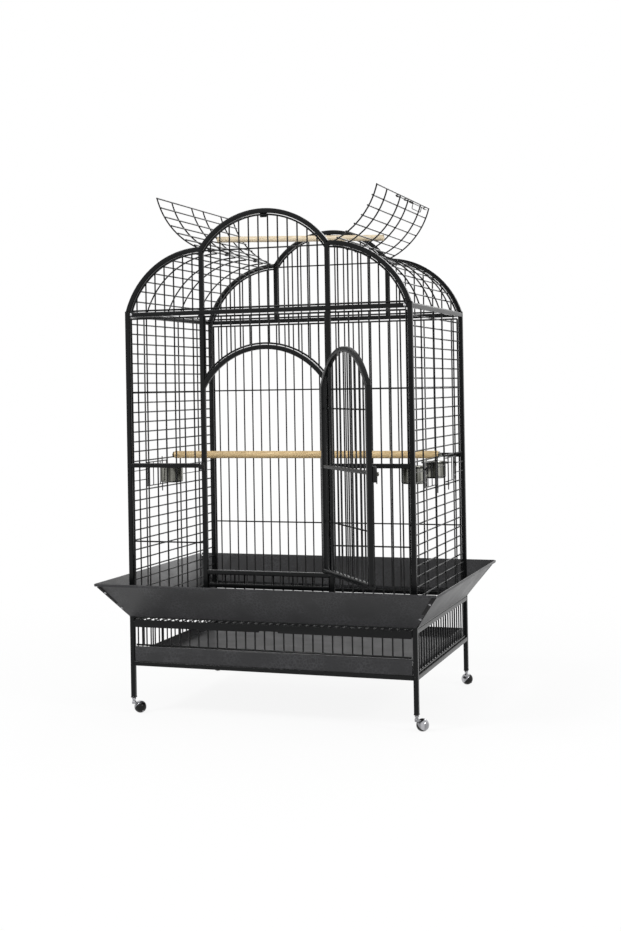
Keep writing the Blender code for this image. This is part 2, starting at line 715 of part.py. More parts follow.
def front_bay(name, side, finish):
    """One front bay: mid post, bottom rail, crossbar, edge wires, bars and two cross wires."""
    y = -HALF_DEPTH
    post, edge, places, inner, outer = bay_parts(y, side)
    upright = bmesh.new()
    top = RAIL_BOTTOM_Z - GAP
    add_bar(upright, (post, y, STAND_TOP_Z + GAP), (post, y, top), TUBE_SIZE)
    start = post + side * (HALF_TUBE - BITE)
    stop = side * (HALF_WIDTH - HALF_TUBE - GAP)
    rails = front_rails(y, [(*sorted((start, stop)), z) for z in (BOTTOM_RAIL_Z, CROSSBAR_Z)])
    upright_edge = bmesh.new()
    low = BOTTOM_RAIL_Z + RAIL_TUBE / 2 - BITE
    add_bar(upright_edge, (edge, y, low), (edge, y, TOP_EDGE_Z), EDGE_SIZE)
    top_edge = bmesh.new()
    add_bar(top_edge, (start, y, TOP_EDGE_Z), (edge, y, TOP_EDGE_Z), TOP_EDGE_SIZE)
    cross = bmesh.new()
    for z in (LOW_WIRE_Z, HIGH_WIRE_Z):
        add_bar(cross, (start, outer, z), (edge, outer, z), WIRE_SIZE)
    steps = [(ADD, rails), (ADD, upright_edge), (ADD, top_edge), (ADD, cross)]
    add_bars(steps, inner, places, TOP_EDGE_Z)
    combine(name, finish, upright, *steps)


def front_header(finish):
    """The arch over the door opening, its outer wire and the bars above it."""
    y = -HALF_DEPTH
    half = MID_POST_X - HALF_TUBE - GAP
    edge = half - EDGE_HALF
    arch = bmesh.new()
    add_sweep(arch, arch_path(y, OPENING_RADIUS, half, OPENING_CENTRE_Z, 10), BACK, RAIL_TUBE, RAIL_TUBE)
    trim = bmesh.new()
    side_cut = half + GAP
    for way in (-1, 1):
        xs = sorted((way * side_cut, way * (side_cut + 2 * TUBE)))
        low = (xs[0], y - TUBE, OPENING_SPRING_Z - 2 * TUBE)
        add_box(trim, low, (xs[1], y + TUBE, OPENING_SPRING_Z + OPENING_RISE))
    outer_radius = OPENING_RADIUS + EDGE_INSET
    wire = bmesh.new()
    add_sweep(wire, arch_path(y, outer_radius, edge, OPENING_CENTRE_Z, 10), BACK, 2 * EDGE_HALF, EDGE_WIRE)
    frame = bmesh.new()
    foot = opening_height(edge, OPENING_RADIUS)
    corners = [(edge, foot), (edge, TOP_EDGE_Z), (-edge, TOP_EDGE_Z), (-edge, foot)]
    path = [Vector((u, y, v)) for u, v in corners]
    add_sweep(frame, path, BACK, 2 * EDGE_HALF + FINER / 2, EDGE_WIRE - FINER)
    places = evenly(-MID_POST_X, MID_POST_X, BAR_PITCH)
    bars = upright_wires(y + LAYER, places, opening_over(outer_radius), level(TOP_EDGE_Z))
    combine("front_header", finish, arch, (CUT, trim), (ADD, wire), (ADD, frame), (ADD, bars))


def front_sill(finish):
    """Sill under the door, the bottom rail, and the bars and band between them."""
    y = -HALF_DEPTH
    half = MID_POST_X - HALF_TUBE - GAP
    edge = half - EDGE_HALF
    rails = front_rails(y, [(-half, half, z) for z in (BOTTOM_RAIL_Z, SILL_Z)])
    low = BOTTOM_RAIL_Z + RAIL_TUBE / 2 - BITE
    high = SILL_Z - RAIL_TUBE / 2 + BITE
    edges = bmesh.new()
    for x in (-edge, edge):
        add_bar(edges, (x, y, low), (x, y, high), EDGE_SIZE)
    band = bmesh.new()
    size = (WIRE, WIRE - FINER, BAND_HEIGHT)
    add_bar(band, (-edge, y - LAYER, BAND_Z), (edge, y - LAYER, BAND_Z), size)
    places = evenly(-MID_POST_X, MID_POST_X, BAR_PITCH)
    bars = upright_wires(y + LAYER, places, level(low), level(high))
    combine("front_sill", finish, rails, (ADD, edges), (ADD, band), (ADD, bars))


def arch_panel(name, y, finish):
    """Top rail, three-lobed tube, upper mid posts, inner edge wires and bars of one end."""
    inner = y + (LAYER if y < 0 else -LAYER)
    outer = y - (LAYER if y < 0 else -LAYER)
    base = POST_TOP_Z + GAP
    path = [Vector((HALF_WIDTH, y, base)), Vector((HALF_WIDTH, y, base + 0.0035))]
    centre = Vector((MID_POST_X, y, LOBE_CENTRE_Z))
    path += arc_points(centre, RIGHT, UP, LOBE_RADIUS, LOBE_START, pi / 2, 6)
    dome = arch_path(y, DOME_RADIUS, MID_POST_X, DOME_CENTRE_Z, 8)
    mirrored = [Vector((-point.x, point.y, point.z)) for point in reversed(path)]
    tube = bmesh.new()
    add_sweep(tube, path + dome[1:-1] + mirrored, BACK, TUBE, TUBE)
    half = HALF_WIDTH - HALF_TUBE - GAP
    rail = front_rails(y, [(-half, half, TOP_RAIL_Z)])
    posts = bmesh.new()
    for x in (-MID_POST_X, MID_POST_X):
        top = KINK_Z - HALF_TUBE / 2
        add_bar(posts, (x, y, TOP_RAIL_Z + BITE), (x, y, top), (TUBE - FINER,) * 3)
    wires = bmesh.new()
    lobe_edge = LOBE_RADIUS - EDGE_INSET
    foot = asin((TOP_RAIL_Z + RAIL_TUBE / 2 - BITE - LOBE_CENTRE_Z) / lobe_edge)
    head = acos((HALF_TUBE - BITE) / lobe_edge)
    for side in (-1, 1):
        middle = Vector((side * MID_POST_X, y, LOBE_CENTRE_Z))
        arc = arc_points(middle, RIGHT * side, UP, lobe_edge, foot, head, 7)
        add_sweep(wires, arc, BACK, 2 * EDGE_HALF, EDGE_WIRE)
    dome_edge = DOME_RADIUS - EDGE_INSET
    inside = MID_POST_X - HALF_TUBE + BITE
    arc = arch_path(y, dome_edge, inside, DOME_CENTRE_Z, 8)
    add_sweep(wires, arc, BACK, 2 * EDGE_HALF, EDGE_WIRE)
    foot_z = TOP_RAIL_Z + RAIL_TUBE / 2 - BITE
    steps = [(ADD, rail), (ADD, posts), (ADD, wires)]
    middle_places = evenly(-MID_POST_X, MID_POST_X, BAR_PITCH)
    dome_bars = upright_wires(inner, middle_places, level(foot_z), lambda x: dome_height(x, dome_edge))
    steps.append((ADD, dome_bars))
    side_places = evenly(MID_POST_X, HALF_WIDTH, BAR_PITCH)
    places = side_places + [-x for x in side_places]
    lobe_bars = upright_wires(inner, places, level(foot_z), lambda x: lobe_height(x, lobe_edge))
    steps.append((ADD, lobe_bars))
    level_wire = bmesh.new()
    span = (dome_edge ** 2 - (DOME_WIRE_Z - DOME_CENTRE_Z) ** 2) ** 0.5
    add_bar(level_wire, (-span, outer, DOME_WIRE_Z), (span, outer, DOME_WIRE_Z), STUB_SIZE)
    steps.append((ADD, level_wire))
    combine(name, finish, tube, *steps)


def rear_panel(finish):
    """Rear panel: bottom rail, crossbar, edge wires, bars and cross wires."""
    y = HALF_DEPTH
    half = HALF_WIDTH - HALF_TUBE - GAP
    edge = HALF_WIDTH - EDGE_INSET
    rails = front_rails(y, [(-half, half, z) for z in (BOTTOM_RAIL_Z, CROSSBAR_Z)])
    edges = bmesh.new()
    low = BOTTOM_RAIL_Z + RAIL_TUBE / 2 - BITE
    for x in (-edge, edge):
        add_bar(edges, (x, y, low), (x, y, TOP_EDGE_Z), EDGE_SIZE)
    top_edge = bmesh.new()
    add_bar(top_edge, (-edge, y, TOP_EDGE_Z), (edge, y, TOP_EDGE_Z), TOP_EDGE_SIZE)
    cross = bmesh.new()
    for z in (LOW_WIRE_Z, HIGH_WIRE_Z):
        add_bar(cross, (-edge, y + LAYER, z), (edge, y + LAYER, z), WIRE_SIZE)
    side_places = [MID_POST_X] + evenly(MID_POST_X, HALF_WIDTH, BAR_PITCH)
    places = evenly(-MID_POST_X, MID_POST_X, BAR_PITCH) + side_places + [-x for x in side_places]
    steps = [(ADD, edges), (ADD, top_edge), (ADD, cross)]
    add_bars(steps, y - LAYER, places, TOP_EDGE_Z)
    combine("rear_panel", finish, rails, *steps)


def roof_panel(name, side, finish):
    """Curved side of the roof, from the side rail up to the hinge rod of the flap."""
    radius = LOBE_RADIUS - ROOF_DROP
    centre = Vector((side * MID_POST_X, 0.0, LOBE_CENTRE_Z))
    across = RIGHT * side
    foot_z = POST_TOP_Z + GAP + EDGE_HALF
    foot = asin((foot_z - LOBE_CENTRE_Z) / radius)
    head = pi / 2 + 0.006
    reach = HALF_DEPTH - HALF_TUBE - GAP
    rods = bmesh.new()
    low = plane_point(centre, across, UP, radius * cos(foot), radius * sin(foot))
    add_bar(rods, (low.x, -reach, low.z), (low.x, reach, low.z), (2 * EDGE_HALF,) * 3)
    hinge = bmesh.new()
    axis_point = Vector((side * MID_POST_X, 0.0, KINK_Z))
    add_pin(hinge, axis_point, BACK, HINGE_ROD, -reach, reach)
    edges = bmesh.new()
    inside = bmesh.new()
    deep = FLAP_EDGE_DEEP
    for way in (-1, 1):
        lifted = centre + BACK * (way * ROOF_EDGE_Y)
        shift = (deep - WIRE) / 2
        arc = arc_points(lifted, across, UP, radius - shift, foot, head, 6)
        add_sweep(edges, arc, BACK, deep, WIRE)
        for y in ROOF_WIRE_Y:
            arc = arc_points(centre + BACK * (way * y), across, UP, radius, foot, head, 6)
            add_sweep(inside, arc, BACK, WIRE, WIRE)
    below = bmesh.new()
    for angle in evenly(foot, head, ROOF_ROD_PITCH / radius):
        add_curve_rod(below, centre, across, radius - WIRE - GAP, angle, ROOF_EDGE_Y)
    steps = [(ADD, shape) for shape in (hinge, edges, inside, below)]
    combine(name, finish, rods, *steps)


def add_curve_rod(shape, centre, across, radius, angle, reach):
    """Adds a rod along Y, turned so that one face looks away from the arc's centre."""
    out = across * cos(angle) + UP * sin(angle)
    middle = centre + out * radius
    path = [middle - BACK * reach, middle + BACK * reach]
    add_sweep(shape, path, out, WIRE, WIRE)


def add_pin(shape, point, axis, radius, start, stop, steps=8):
    """Adds a straight round pin along an axis."""
    profile = [(0.0, start), (radius, start), (radius, stop), (0.0, stop)]
    add_turned(shape, profile, point, axis, steps)


def flap_angle(run):
    """Angle about the dome's centre of a point this far along the flap from its hinge, closed."""
    return pi / 2 - FLAP_START + run / DOME_RADIUS


def open_flap(shape, side):
    """Turns a closed flap's shape to its open rest position."""
    hinge = (side * MID_POST_X, 0.0, KINK_Z)
    turn(shape, hinge, "Y", side * FLAP_OPEN)


def flap_shapes(side):
    """Closed shapes of a roof flap, in the order in which they are joined."""
    centre = Vector((0.0, 0.0, DOME_CENTRE_Z))
    across = RIGHT * side
    near = flap_angle(HINGE_STEP)
    end = flap_angle(FLAP_RUN)
    deep = FLAP_EDGE_DEEP
    rods = bmesh.new()
    for angle in (near, end):
        add_curve_rod(rods, centre, across, DOME_RADIUS, angle, ROOF_EDGE_Y)
    sleeves = bmesh.new()
    for y in SLEEVE_Y:
        for way in (-1, 1):
            spot = Vector((side * MID_POST_X, way * y, KINK_Z))
            add_eye(sleeves, spot, SLEEVE_INSIDE, SLEEVE_OUTSIDE, SLEEVE_LENGTH, BACK)
    edges = bmesh.new()
    inside = bmesh.new()
    for way in (-1, 1):
        shift = (deep - WIRE) / 2
        edge_centre = centre + BACK * (way * ROOF_EDGE_Y)
        arc = arc_points(edge_centre, across, UP, DOME_RADIUS - shift, near, end, 6)
        add_sweep(edges, arc, BACK, deep, WIRE)
        for y in ROOF_WIRE_Y:
            middle = centre + BACK * (way * y)
            arc = arc_points(middle, across, UP, DOME_RADIUS, near, end, 6)
            add_sweep(inside, arc, BACK, WIRE, WIRE)
    below = bmesh.new()
    for k in range(1, FLAP_RODS + 1):
        angle = flap_angle(FLAP_RUN - k * FLAP_ROD_PITCH)
        add_curve_rod(below, centre, across, DOME_RADIUS - WIRE - GAP, angle, ROOF_EDGE_Y)
    return [rods, sleeves, edges, inside, below]


def roof_flap(name, side, finish):
    """A roof flap, open; the right one carries the guides of the bolt."""
    shapes = flap_shapes(side)
    steps = [(ADD, shape) for shape in shapes[1:]]
    if side > 0:
        guides = bmesh.new()
        bores = bmesh.new()
        half = BOLT_GUIDE_LONG / 2
        for y in BOLT_GUIDES:
            low = (BOLT_GUIDE_NEAR, y - half, BOLT_Z - BOLT_GUIDE_WALL)
            add_box(guides, low, (BOLT_X + BOLT_GUIDE_WALL, y + half, BOLT_GUIDE_TOP))
            spot = Vector((BOLT_X, y, BOLT_Z))
            add_pin(bores, spot, BACK, BOLT_RADIUS + BOLT_GAP, -half - BITE, half + BITE)
        steps += [(ADD, guides), (CUT, bores)]
    for shape in [shapes[0]] + [step[1] for step in steps]:
        open_flap(shape, side)
    combine(name, finish, shapes[0], *steps, at=(side * MID_POST_X, 0.0, KINK_Z))


def flap_bolt(finish):
    """The sliding wire bolt of the right flap, with its spring collar and bent handle."""
    rod = bmesh.new()
    add_pin(rod, Vector((BOLT_X, 0.0, BOLT_Z)), BACK, BOLT_RADIUS, *BOLT_ENDS)
    collar = bmesh.new()
    add_pin(collar, Vector((BOLT_X, 0.0, BOLT_Z)), BACK, BOLT_SPRING_RADIUS, *BOLT_SPRING_Y)
    handle = bmesh.new()
    near, far = BOLT_HANDLE_Y
    corners = [(0.0, near), (BOLT_HANDLE_DROP, near), (BOLT_HANDLE_DROP, far), (0.0, far)]
    path = [Vector((BOLT_X + u, v, BOLT_Z)) for u, v in corners]
    add_sweep(handle, path, UP, BOLT_HANDLE_WIRE, BOLT_HANDLE_WIRE)
    for shape in (rod, collar, handle):
        open_flap(shape, 1)
    tip = Vector((BOLT_X, 0.0, BOLT_Z))
    hinge = Vector((MID_POST_X, 0.0, KINK_Z))
    spot = hinge + Matrix.Rotation(FLAP_OPEN, 3, "Y") @ (tip - hinge)
    combine("flap_bolt", finish, rod, (ADD, collar), (ADD, handle), at=spot)


def flap_catch(name, way, bored, finish):
    """Sheet catch inside the top of an arch, with a ledge for the closed flaps."""
    face = way * (HALF_DEPTH - HALF_TUBE - GAP)
    back = face - way * SHEET
    plate = bmesh.new()
    ys = sorted((face, back))
    half = CATCH_WIDTH / 2
    add_box(plate, (-half, ys[0], CATCH_LOW_Z), (half, ys[1], DOME_TOP_Z + CATCH_ABOVE))
    ledge = bmesh.new()
    tip = face - way * CATCH_LEDGE
    ys = sorted((tip, face - way * SHEET / 2))
    add_box(ledge, (-half, ys[0], CATCH_LEDGE_Z - SHEET), (half, ys[1], CATCH_LEDGE_Z))
    steps = [(ADD, ledge)]
    if bored:
        bore = bmesh.new()
        spot = Vector((BOLT_X, face, BOLT_Z))
        add_pin(bore, spot, BACK, BOLT_RADIUS + BOLT_GAP, -TUBE, TUBE)
        steps.append((CUT, bore))
    combine(name, finish, plate, *steps)


def door(finish):
    """The door, open: arched frame, crossbar, cross wires, bars and two hinge leaves."""
    y = -HALF_DEPTH
    stile = DOOR_STILE_X
    bottom = DOOR_BOTTOM_Z
    arc = arch_path(y, DOOR_RADIUS, stile, OPENING_CENTRE_Z, 10)
    path = [Vector((-stile, y, bottom)), Vector((stile, y, bottom))] + arc
    frame = bmesh.new()
    add_sweep(frame, path, BACK, TUBE, TUBE, closed=True)
    crossbar = bmesh.new()
    reach = stile - HALF_TUBE + BITE
    size = (DOOR_BAR, DOOR_BAR, DOOR_BAR)
    add_bar(crossbar, (-reach, y, CROSSBAR_Z), (reach, y, CROSSBAR_Z), size)
    cross = bmesh.new()
    for z in DOOR_WIRE_Z:
        add_bar(cross, (-reach, y - LAYER, z), (reach, y - LAYER, z), WIRE_SIZE)
    places = evenly(-stile, stile, BAR_PITCH)
    low = bottom + HALF_TUBE - BITE
    gap_low = CROSSBAR_Z - DOOR_BAR / 2 + BITE
    gap_high = CROSSBAR_Z + DOOR_BAR / 2 - BITE
    lower = upright_wires(y + LAYER, places, level(low), level(gap_low))
    upper = upright_wires(y + LAYER, places, level(gap_high), opening_over(DOOR_RADIUS))
    leaves = bmesh.new()
    sleeves = bmesh.new()
    for z in HINGE_Z:
        half = HINGE_LENGTH / 4 - GAP
        front = y - HALF_TUBE
        low_corner = (stile - BITE, front - LEAF_SHEET, z - half + GAP)
        add_box(leaves, low_corner, (HINGE_X - LEAF_END, front + WELD, z + half - GAP))
        add_eye(sleeves, Vector((HINGE_X, HINGE_Y, z)), SLEEVE_INSIDE, SLEEVE_OUTSIDE, 2 * half, UP)
    steps = [(ADD, shape) for shape in (crossbar, cross, lower, upper, leaves, sleeves)]
    spot = (HINGE_X, HINGE_Y, 0.0)
    for shape in [frame] + [step[1] for step in steps]:
        turn(shape, spot, "Z", DOOR_OPEN)
    combine("door", finish, frame, *steps, at=(HINGE_X, HINGE_Y, bottom))


def door_hinge(name, z, finish):
    """Hinge plate on the mid post, with two ears and the pin between them."""
    front = -HALF_DEPTH - HALF_TUBE - GAP
    half = HINGE_LENGTH / 2
    plate = bmesh.new()
    low = (MID_POST_X - HALF_TUBE + HINGE_BORDER, front - HINGE_SHEET, z - half)
    add_box(plate, low, (MID_POST_X + HALF_TUBE - WELD, front, z + half))
    ears = bmesh.new()
    for way in (-1, 1):
        bottom, top = sorted((z + way * (half / 2 + GAP), z + way * (half - GAP)))
        low = (HINGE_X - HINGE_EAR, HINGE_Y - HINGE_EAR, bottom)
        add_box(ears, low, (MID_POST_X, HINGE_Y + HINGE_EAR, top))
    pin = bmesh.new()
    reach = half - HINGE_SHEET / 2
    add_pin(pin, Vector((HINGE_X, HINGE_Y, z)), UP, HINGE_PIN, -reach, reach)
    combine(name, finish, plate, (ADD, ears), (ADD, pin))


def lock_point(u, v, z):
    """A point of the closed door's lock, u to the right of the free stile and v to the front."""
    return Vector((-DOOR_STILE_X + u, -HALF_DEPTH - HALF_TUBE - GAP - v, z))


def door_lock(body_finish, turn_finish):
    """Lock body on the free stile, and the turn handle on its front."""
    wide, deep, tall = LOCK_SIZE
    corner = lock_point(-wide / 2, deep, LOCK_Z - tall / 2)
    body = bmesh.new()
    add_box(body, corner, lock_point(wide / 2, 0.0, LOCK_Z + tall / 2))
    spot = (HINGE_X, HINGE_Y, 0.0)
    centre = lock_point(0.0, deep + GAP, LOCK_Z)
    turned = Vector(spot) + Matrix.Rotation(DOOR_OPEN, 3, "Z") @ (centre - Vector(spot))
    turn(body, spot, "Z", DOOR_OPEN)
    solid("door_lock", body, body_finish, at=turned)
    knob = bmesh.new()
    add_pin(knob, centre, -BACK, LOCK_KNOB, 0.0, LOCK_LEVER_DEEP + LOCK_KNOB_PROUD, 12)
    lever = bmesh.new()
    low = lock_point(-LOCK_LEVER_WIDE / 2, deep + GAP + LOCK_LEVER_DEEP, LOCK_Z - LOCK_LEVER)
    high = lock_point(LOCK_LEVER_WIDE / 2, deep + 2 * GAP, LOCK_Z)
    add_box(lever, low, high)
    for shape in (knob, lever):
        turn(shape, spot, "Z", DOOR_OPEN)
    combine("door_lock_turn", turn_finish, knob, (ADD, lever), at=turned)


def door_keeper(finish):
    """Keeper on the left mid post, with a slot for the lever of the lock."""
    deep = LOCK_SIZE[1]
    front = -HALF_DEPTH - HALF_TUBE - GAP
    left = -MID_POST_X - HALF_TUBE
    block = bmesh.new()
    slot_near = front - deep + GAP
    slot_far = front - deep - LOCK_LEVER_DEEP - KEEPER_PLAY
    low = (left, slot_far - KEEPER_WALL, LOCK_Z - KEEPER_LOW)
    add_box(block, low, (left + KEEPER_WIDE, front, LOCK_Z + KEEPER_HIGH))
    slot = bmesh.new()
    low = (left - TUBE, slot_far, LOCK_Z - LOCK_LEVER)
    high = (left + 2 * TUBE, slot_near, LOCK_Z + LOCK_LEVER_WIDE / 2 + KEEPER_PLAY)
    add_box(slot, low, high)
    combine("door_keeper", finish, block, (CUT, slot))


def inner_perch(finish):
    """Round wooden perch from side to side."""
    shape = bmesh.new()
    half = HALF_WIDTH - LAYER - WIRE / 2 - GAP
    add_pin(shape, Vector((0.0, 0.0, INNER_PERCH_Z)), RIGHT, INNER_PERCH_RADIUS, -half, half, 16)
    smooth(solid("inner_perch", shape, finish, at=(0.0, 0.0, INNER_PERCH_Z)))


def perch_bolt(name, side, finish):
    """Bolt and washer that clamp the perch to the rods of a side panel."""
    inner = HALF_WIDTH - LAYER - WIRE / 2
    face = HALF_WIDTH - LAYER + WIRE / 2 + GAP
    washer = face + PERCH_WASHER_THICK
    profile = [
        (0.0, inner),
        (PERCH_SHANK, inner),
        (PERCH_SHANK, face),
        (PERCH_WASHER, face),
        (PERCH_WASHER, washer),
        (PERCH_HEAD, washer),
        (PERCH_HEAD, washer + PERCH_HEAD_HIGH),
        (0.0, washer + PERCH_HEAD_HIGH),
    ]
    shape = bmesh.new()
    add_turned(shape, profile, Vector((0.0, 0.0, INNER_PERCH_Z)), RIGHT * side, 12)
    smooth(solid(name, shape, finish, at=(side * face, 0.0, INNER_PERCH_Z)), radians(32.0))


def flap_rod_point(side, k):
    """Centre of rod k of an open flap, counted from the free edge, and the height of its top."""
    centre = Vector((0.0, 0.0, DOME_CENTRE_Z))
    angle = flap_angle(FLAP_RUN - k * FLAP_ROD_PITCH)
    radius = DOME_RADIUS - WIRE - GAP
    spot = plane_point(centre, RIGHT * side, UP, radius * cos(angle), radius * sin(angle))
    hinge = Vector((side * MID_POST_X, 0.0, KINK_Z))
    spot = hinge + Matrix.Rotation(side * FLAP_OPEN, 3, "Y") @ (spot - hinge)
    lean = angle - FLAP_OPEN
    rise = WIRE / 2 * (abs(cos(lean)) + abs(sin(lean)))
    return spot.x, spot.z + rise


def play_perch(finish):
    """Wooden dowel that lies on one rod of each open flap."""
    left_x, left_z = flap_rod_point(-1, PERCH_RODS[0])
    right_x, right_z = flap_rod_point(1, PERCH_RODS[1])
    slope = (right_z - left_z) / (right_x - left_x)
    clear = (PLAY_PERCH_RADIUS + GAP) * (1.0 + slope * slope) ** 0.5
    middle_z = left_z + clear - slope * left_x
    middle = Vector((0.0, PLAY_PERCH_Y, middle_z))
    along = Vector((1.0, 0.0, slope)).normalized()
    shape = bmesh.new()
    add_pin(shape, middle, along, PLAY_PERCH_RADIUS, *PLAY_PERCH_ENDS, 12)
    smooth(solid("play_perch", shape, finish, at=middle))


def feeder_door(name, side, way, finish):
    """Feeder door: wire frame, hinge rod, ring for the cup, latch plate and pull eye."""
    x = side * (HALF_WIDTH + LAYER)
    hinge = Vector((side * (HALF_WIDTH + FEEDER_HINGE_OUT), way * FEEDER_HINGE_Y, 0.0))
    near = FEEDER_Y - FEEDER_OPENING / 2 + WIRE / 2
    far = FEEDER_Y + FEEDER_OPENING / 2 - WIRE / 2
    low = FEEDER_Z[0] + WIRE / 2
    high = FEEDER_Z[1] - WIRE / 2
    frame = bmesh.new()
    corners = [(near, low), (far, low), (far, high), (near, high)]
    add_sweep(frame, [Vector((x, way * u, v)) for u, v in corners], RIGHT, WIRE, WIRE, closed=True)
    arms = bmesh.new()
    for z in (low, high):
        add_bar(arms, (x, hinge.y, z), (hinge.x, hinge.y, z), STUB_SIZE)
    rod = bmesh.new()
    ends = (FEEDER_Z[0] - FEEDER_ROD_BELOW, FEEDER_Z[1] + FEEDER_ROD_ABOVE)
    add_pin(rod, hinge, UP, FEEDER_ROD, *ends)
    uprights = bmesh.new()
    holders = bmesh.new()
    ring_z = CUP_TOP_Z - CUP_LIP - GAP - RING_WIRE / 2
    cup_x = side * CUP_X
    for offset in (-RING_ARM, RING_ARM):
        y = way * FEEDER_Y + offset
        add_bar(uprights, (x, y, low), (x, y, high), STUB_SIZE)
        ring_x = cup_x + side * (RING_RADIUS ** 2 - RING_ARM ** 2) ** 0.5
        add_bar(holders, (ring_x, y, ring_z), (x, y, ring_z), HOLDER_SIZE)
    ring = bmesh.new()
    half = RING_WIRE / 2
    inside = RING_RADIUS - half
    outside = inside + RING_WIRE
    profile = [(inside, -half), (outside, -half), (outside, half), (inside, half)]
    add_turned(ring, profile, Vector((cup_x, way * FEEDER_Y, ring_z)), UP, CUP_STEPS)
    plate = bmesh.new()
    ys = sorted((way * (PULL_Y - PULL_PLATE / 2), way * (PULL_Y + PULL_PLATE / 2)))
    xs = (x - SHEET / 2, x + SHEET / 2)
    add_box(plate, (xs[0], ys[0], low), (xs[1], ys[1], high))
    eye = bmesh.new()
    xs = sorted((x, side * (PULL_X + PULL_EYE)))
    y = way * PULL_Y
    half = PULL_EYE_HIGH / 2
    add_box(eye, (xs[0], y - SHEET / 2, PULL_Z - half), (xs[1], y + SHEET / 2, PULL_Z + half))
    bore = bmesh.new()
    add_pin(bore, Vector((side * PULL_X, y, PULL_Z)), BACK, PULL_BORE, -half, half)
    steps = [(ADD, shape) for shape in (arms, rod, uprights, holders, ring, plate, eye)]
    combine(name, finish, frame, *steps, (CUT, bore), at=(hinge.x, hinge.y, FEEDER_Z[0]))


def feeder_cup(name, side, way, finish):
    """Stainless cup with a rolled rim."""
    inside = CUP_RADIUS - CUP_WALL
    rim = CUP_RADIUS + CUP_RIM
    lip = CUP_HEIGHT - CUP_LIP
    profile = [
        (0.0, 0.0),
        (CUP_RADIUS - 0.006, 0.0),
        (CUP_RADIUS, 0.007),
        (CUP_RADIUS, lip),
        (rim, lip),
        (rim, CUP_HEIGHT),
        (inside, CUP_HEIGHT),
        (inside, 0.008),
        (inside - 0.006, CUP_WALL),
        (0.0, CUP_WALL),
    ]
    spot = Vector((side * CUP_X, way * FEEDER_Y, CUP_TOP_Z - CUP_HEIGHT))
    shape = bmesh.new()
    add_turned(shape, profile, spot, UP, CUP_STEPS)
    smooth(solid(name, shape, finish, at=spot))


def feeder_pull(name, side, way, finish):
    """Ring that swings in the pull eye of a feeder door."""
    shape = bmesh.new()
    top = Vector((side * PULL_X, way * PULL_Y, PULL_Z))
    half = PULL_WIRE / 2
    radius = PULL_RADIUS
    near, far = radius - half, radius + half
    profile = [(near, -half), (far, -half), (far, half), (near, half)]
    add_turned(shape, profile, top - UP * radius, RIGHT, 12)
    solid(name, shape, finish, at=top)


def caster(name, x_side, y_side, heading, tilt_side, hood_finish, wheel_finish):
    """Hooded ball caster: a hood with its stem, and a half-ball wheel on a tilted axle."""
    stem = Vector((x_side * HALF_WIDTH, y_side * HALF_DEPTH, 0.0))
    trail = Vector((cos(heading), sin(heading), 0.0))
    ball = stem + trail * CASTER_TRAIL + UP * BALL_RADIUS
    level_axis = trail.cross(UP) * tilt_side
    axle = (level_axis * cos(AXLE_TILT) + UP * sin(AXLE_TILT)).normalized()
    outer = BALL_RADIUS + HOOD_PROUD
    inner = outer - HOOD_WALL
    profile = [(0.0, outer)]
    profile += [(outer * sin(a), outer * cos(a)) for a in HOOD_ANGLES]
    profile += [(outer, SPLIT_GAP), (inner, SPLIT_GAP)]
    profile += [(inner * sin(a), inner * cos(a)) for a in reversed(HOOD_ANGLES[1:])]
    boss_top = (inner * inner - BOSS_RADIUS * BOSS_RADIUS) ** 0.5
    profile += [
        (BOSS_RADIUS, boss_top),
        (BOSS_RADIUS, BOSS_LOW),
        (AXLE_RADIUS + AXLE_GAP, BOSS_LOW),
        (AXLE_RADIUS + AXLE_GAP, AXLE_TOP + GAP),
        (0.0, AXLE_TOP + GAP),
    ]
    shell = bmesh.new()
    add_turned(shell, profile, ball, axle, CASTER_STEPS)
    arm = bmesh.new()
    across = trail.cross(UP)
    wide = NECK_WIDE
    outline = [(-wide, ARM_LOW_Z), (wide, ARM_LOW_Z), (wide, ARM_TOP_Z), (-wide, ARM_TOP_Z)]
    middle = stem + trail * (CASTER_TRAIL / 2)
    add_prism(arm, outline, middle, across, UP, CASTER_TRAIL)
    collar = bmesh.new()
    add_pin(collar, stem, UP, STEM_RADIUS, ARM_LOW_Z + GAP, LEG_BOTTOM_Z - GAP, 10)
    hollow = bmesh.new()
    middle_radius = outer - HOOD_WALL / 2
    bowl = [(0.0, -middle_radius)]
    bowl += [(middle_radius * sin(a), -middle_radius * cos(a)) for a in BOWL_ANGLES]
    bowl.append((0.0, middle_radius))
    add_turned(hollow, bowl, ball, axle, CASTER_STEPS)
    steps = ((ADD, collar), (CUT, hollow), (ADD, shell))
    smooth(combine("caster_hood_" + name, hood_finish, arm, *steps, at=stem))
    face = -SPLIT_GAP
    profile = [(0.0, -BALL_RADIUS)]
    profile += [(BALL_RADIUS * sin(a), -BALL_RADIUS * cos(a)) for a in HOOD_ANGLES]
    profile += [(BALL_RADIUS, face), (AXLE_RADIUS, face), (AXLE_RADIUS, AXLE_TOP), (0.0, AXLE_TOP)]
    wheel = bmesh.new()
    add_turned(wheel, profile, ball, axle, CASTER_STEPS)
    smooth(solid("caster_wheel_" + name, wheel, wheel_finish, at=ball))


def centre_on_floor():
    """Slides everything so that the origin lies under the middle of the outline."""
    bpy.context.view_layer.update()
    objects = [item for item in bpy.data.objects if item.type == "MESH"]
    points = [item.matrix_world @ vertex.co for item in objects for vertex in item.data.vertices]
    low = [min(point[axis] for point in points) for axis in range(3)]
    high = [max(point[axis] for point in points) for axis in range(3)]
    shift = Vector(((low[0] + high[0]) / 2, (low[1] + high[1]) / 2, low[2]))
    for item in objects:
        item.location -= shift


